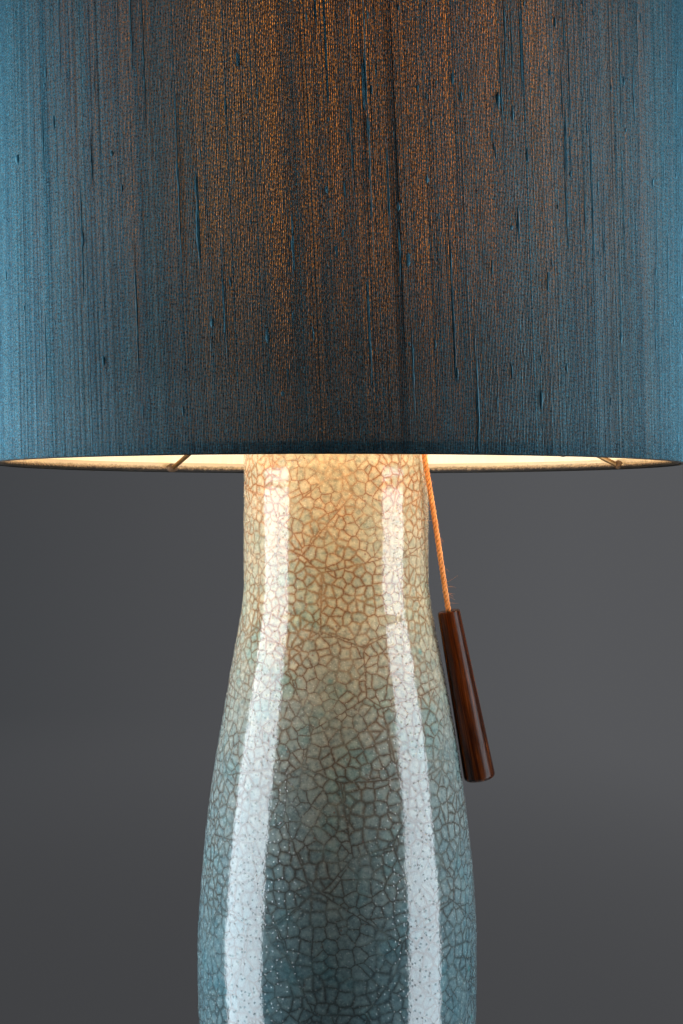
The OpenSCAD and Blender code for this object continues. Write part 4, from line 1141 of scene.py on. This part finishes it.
def build_floor():
    """A plain pale floor that fades into the backdrop away from the lamp."""
    material, tree, shader, place = new_material("pale_floor", Roughness=0.9)
    shader.inputs["Base Color"].default_value = (0.55, 0.545, 0.54, 1)
    grey, away = backdrop_colour(tree, place)
    plain = node(tree, "Emission")
    link(tree, grey, plain.inputs["Color"])
    both = node(tree, "MixShader")
    link(tree, between(tree, away, 0.30, 0.43), both.inputs[0])
    link(tree, shader.outputs[0], both.inputs[1])
    link(tree, plain.outputs[0], both.inputs[2])
    link(tree, both.outputs[0], tree.nodes["Material Output"].inputs["Surface"])
    bm = bmesh.new()
    bmesh.ops.create_circle(bm, cap_ends=True, segments=96, radius=FLOOR_R)
    staged(bm, "studio_floor", material)


def build_backdrop():
    """A round paper backdrop, far out on every side of the lamp."""
    material, tree, shader, place = new_material("backdrop_paper")
    plain = node(tree, "Emission")
    link(tree, backdrop_colour(tree, place)[0], plain.inputs["Color"])
    link(tree, plain.outputs[0], tree.nodes["Material Output"].inputs["Surface"])
    bm = bmesh.new()
    bmesh.ops.create_cone(bm, cap_ends=False, segments=128, radius1=BACKDROP_R, radius2=BACKDROP_R, depth=6.0,
                          matrix=Matrix.Translation((0, 0, 2.5)))
    paper = staged(bm, "backdrop", material)
    paper.visible_diffuse = False
    paper.visible_glossy = False
    paper.visible_transmission = False


def build_world():
    """Soft fill from all round, with the backdrop's grey where it is seen, reflected or looked through."""
    world = bpy.data.worlds.new("studio")
    bpy.context.scene.world = world
    world.use_nodes = True
    tree = world.node_tree
    fill = tree.nodes["Background"]
    fill.inputs["Color"].default_value = (0.95, 0.97, 1.0, 1)
    fill.inputs["Strength"].default_value = 0.03
    back = node(tree, "Background", Color=(*BACKDROP_GREY, 1))
    seen = node(tree, "LightPath").outputs
    beyond = math_node(tree, "MAXIMUM", seen["Is Glossy Ray"], seen["Is Transmission Ray"])
    both = node(tree, "MixShader")
    link(tree, math_node(tree, "MAXIMUM", seen["Is Camera Ray"], beyond), both.inputs[0])
    link(tree, fill.outputs[0], both.inputs[1])
    link(tree, back.outputs[0], both.inputs[2])
    link(tree, both.outputs[0], tree.nodes["World Output"].inputs["Surface"])


def new_lamp(name, kind, power, colour, place):
    """A light of the studio at a place, pointing down."""
    light = bpy.data.lights.new(name, kind)
    light.energy = power
    light.color = colour
    lamp = bpy.data.objects.new(name, light)
    lamp.location = place
    bpy.context.scene.collection.objects.link(lamp)
    return lamp, light


def soft_box(name, turn, away, width, height, middle_z, power, colour, glossy, spread_angle=180):
    """A soft box that faces the axis, turned in degrees from the front to the right."""
    # it shows in glossy reflections alone, or else it lights matt surfaces alone
    around = math.radians(turn - 90)
    at = Vector((away * math.cos(around), away * math.sin(around), middle_z))
    lamp, light = new_lamp(name, "AREA", power, colour, at)
    light.shape = "RECTANGLE"
    light.size, light.size_y = width, height
    light.spread = math.radians(spread_angle)
    lamp.rotation_euler = (Vector((0, 0, middle_z)) - at).to_track_quat("-Z", "Y").to_euler()
    lamp.visible_camera = False
    lamp.visible_glossy = glossy
    lamp.visible_diffuse = not glossy


def build_lit_shade():
    """The bulb's own light, and what the lit shade throws down through its open bottom."""
    _, bulb_light = new_lamp("bulb_light", "POINT", 1.35, (1.0, 0.80, 0.55), (0, 0, BULB_Z))
    bulb_light.shadow_soft_size = 0.028
    lamp, light = new_lamp("shade_light", "AREA", 0.68, (1.0, 0.58, 0.27), (0, -0.04, RIM_Z + 0.0155))
    light.shape = "DISK"
    light.size = 0.30
    lamp.visible_camera = False
    lamp.visible_glossy = False
    for name in ("bulb_glass", "bulb_stem", "bulb_filament"):
        nodes[name].visible_shadow = False


build_floor()
build_backdrop()
build_world()
soft_box("left_highlight_box", -74.6, 0.38, 0.248, 0.453, 0.2305, 2.18, GLOSS_COLOUR, True)
soft_box("right_highlight_box", 69.1, 0.38, 0.199, 0.453, 0.2305, 1.55, GLOSS_COLOUR, True)
soft_box("left_wash_box", -90, 0.46, 0.277, 0.60, 0.31, 3.9, WASH_COLOUR, False)
soft_box("right_wash_box", 82, 0.50, 0.277, 0.60, 0.33, 2.6, WASH_COLOUR, False)
soft_box("left_shade_box", -64, 0.50, 0.30, 0.22, 0.57, 0.18, SHADE_BOX_COLOUR, False, 75)
soft_box("right_shade_box", 58, 0.50, 0.30, 0.22, 0.57, 0.17, SHADE_BOX_COLOUR, False, 75)
build_lit_shade()

bpy.context.scene.view_settings.view_transform = "Standard"
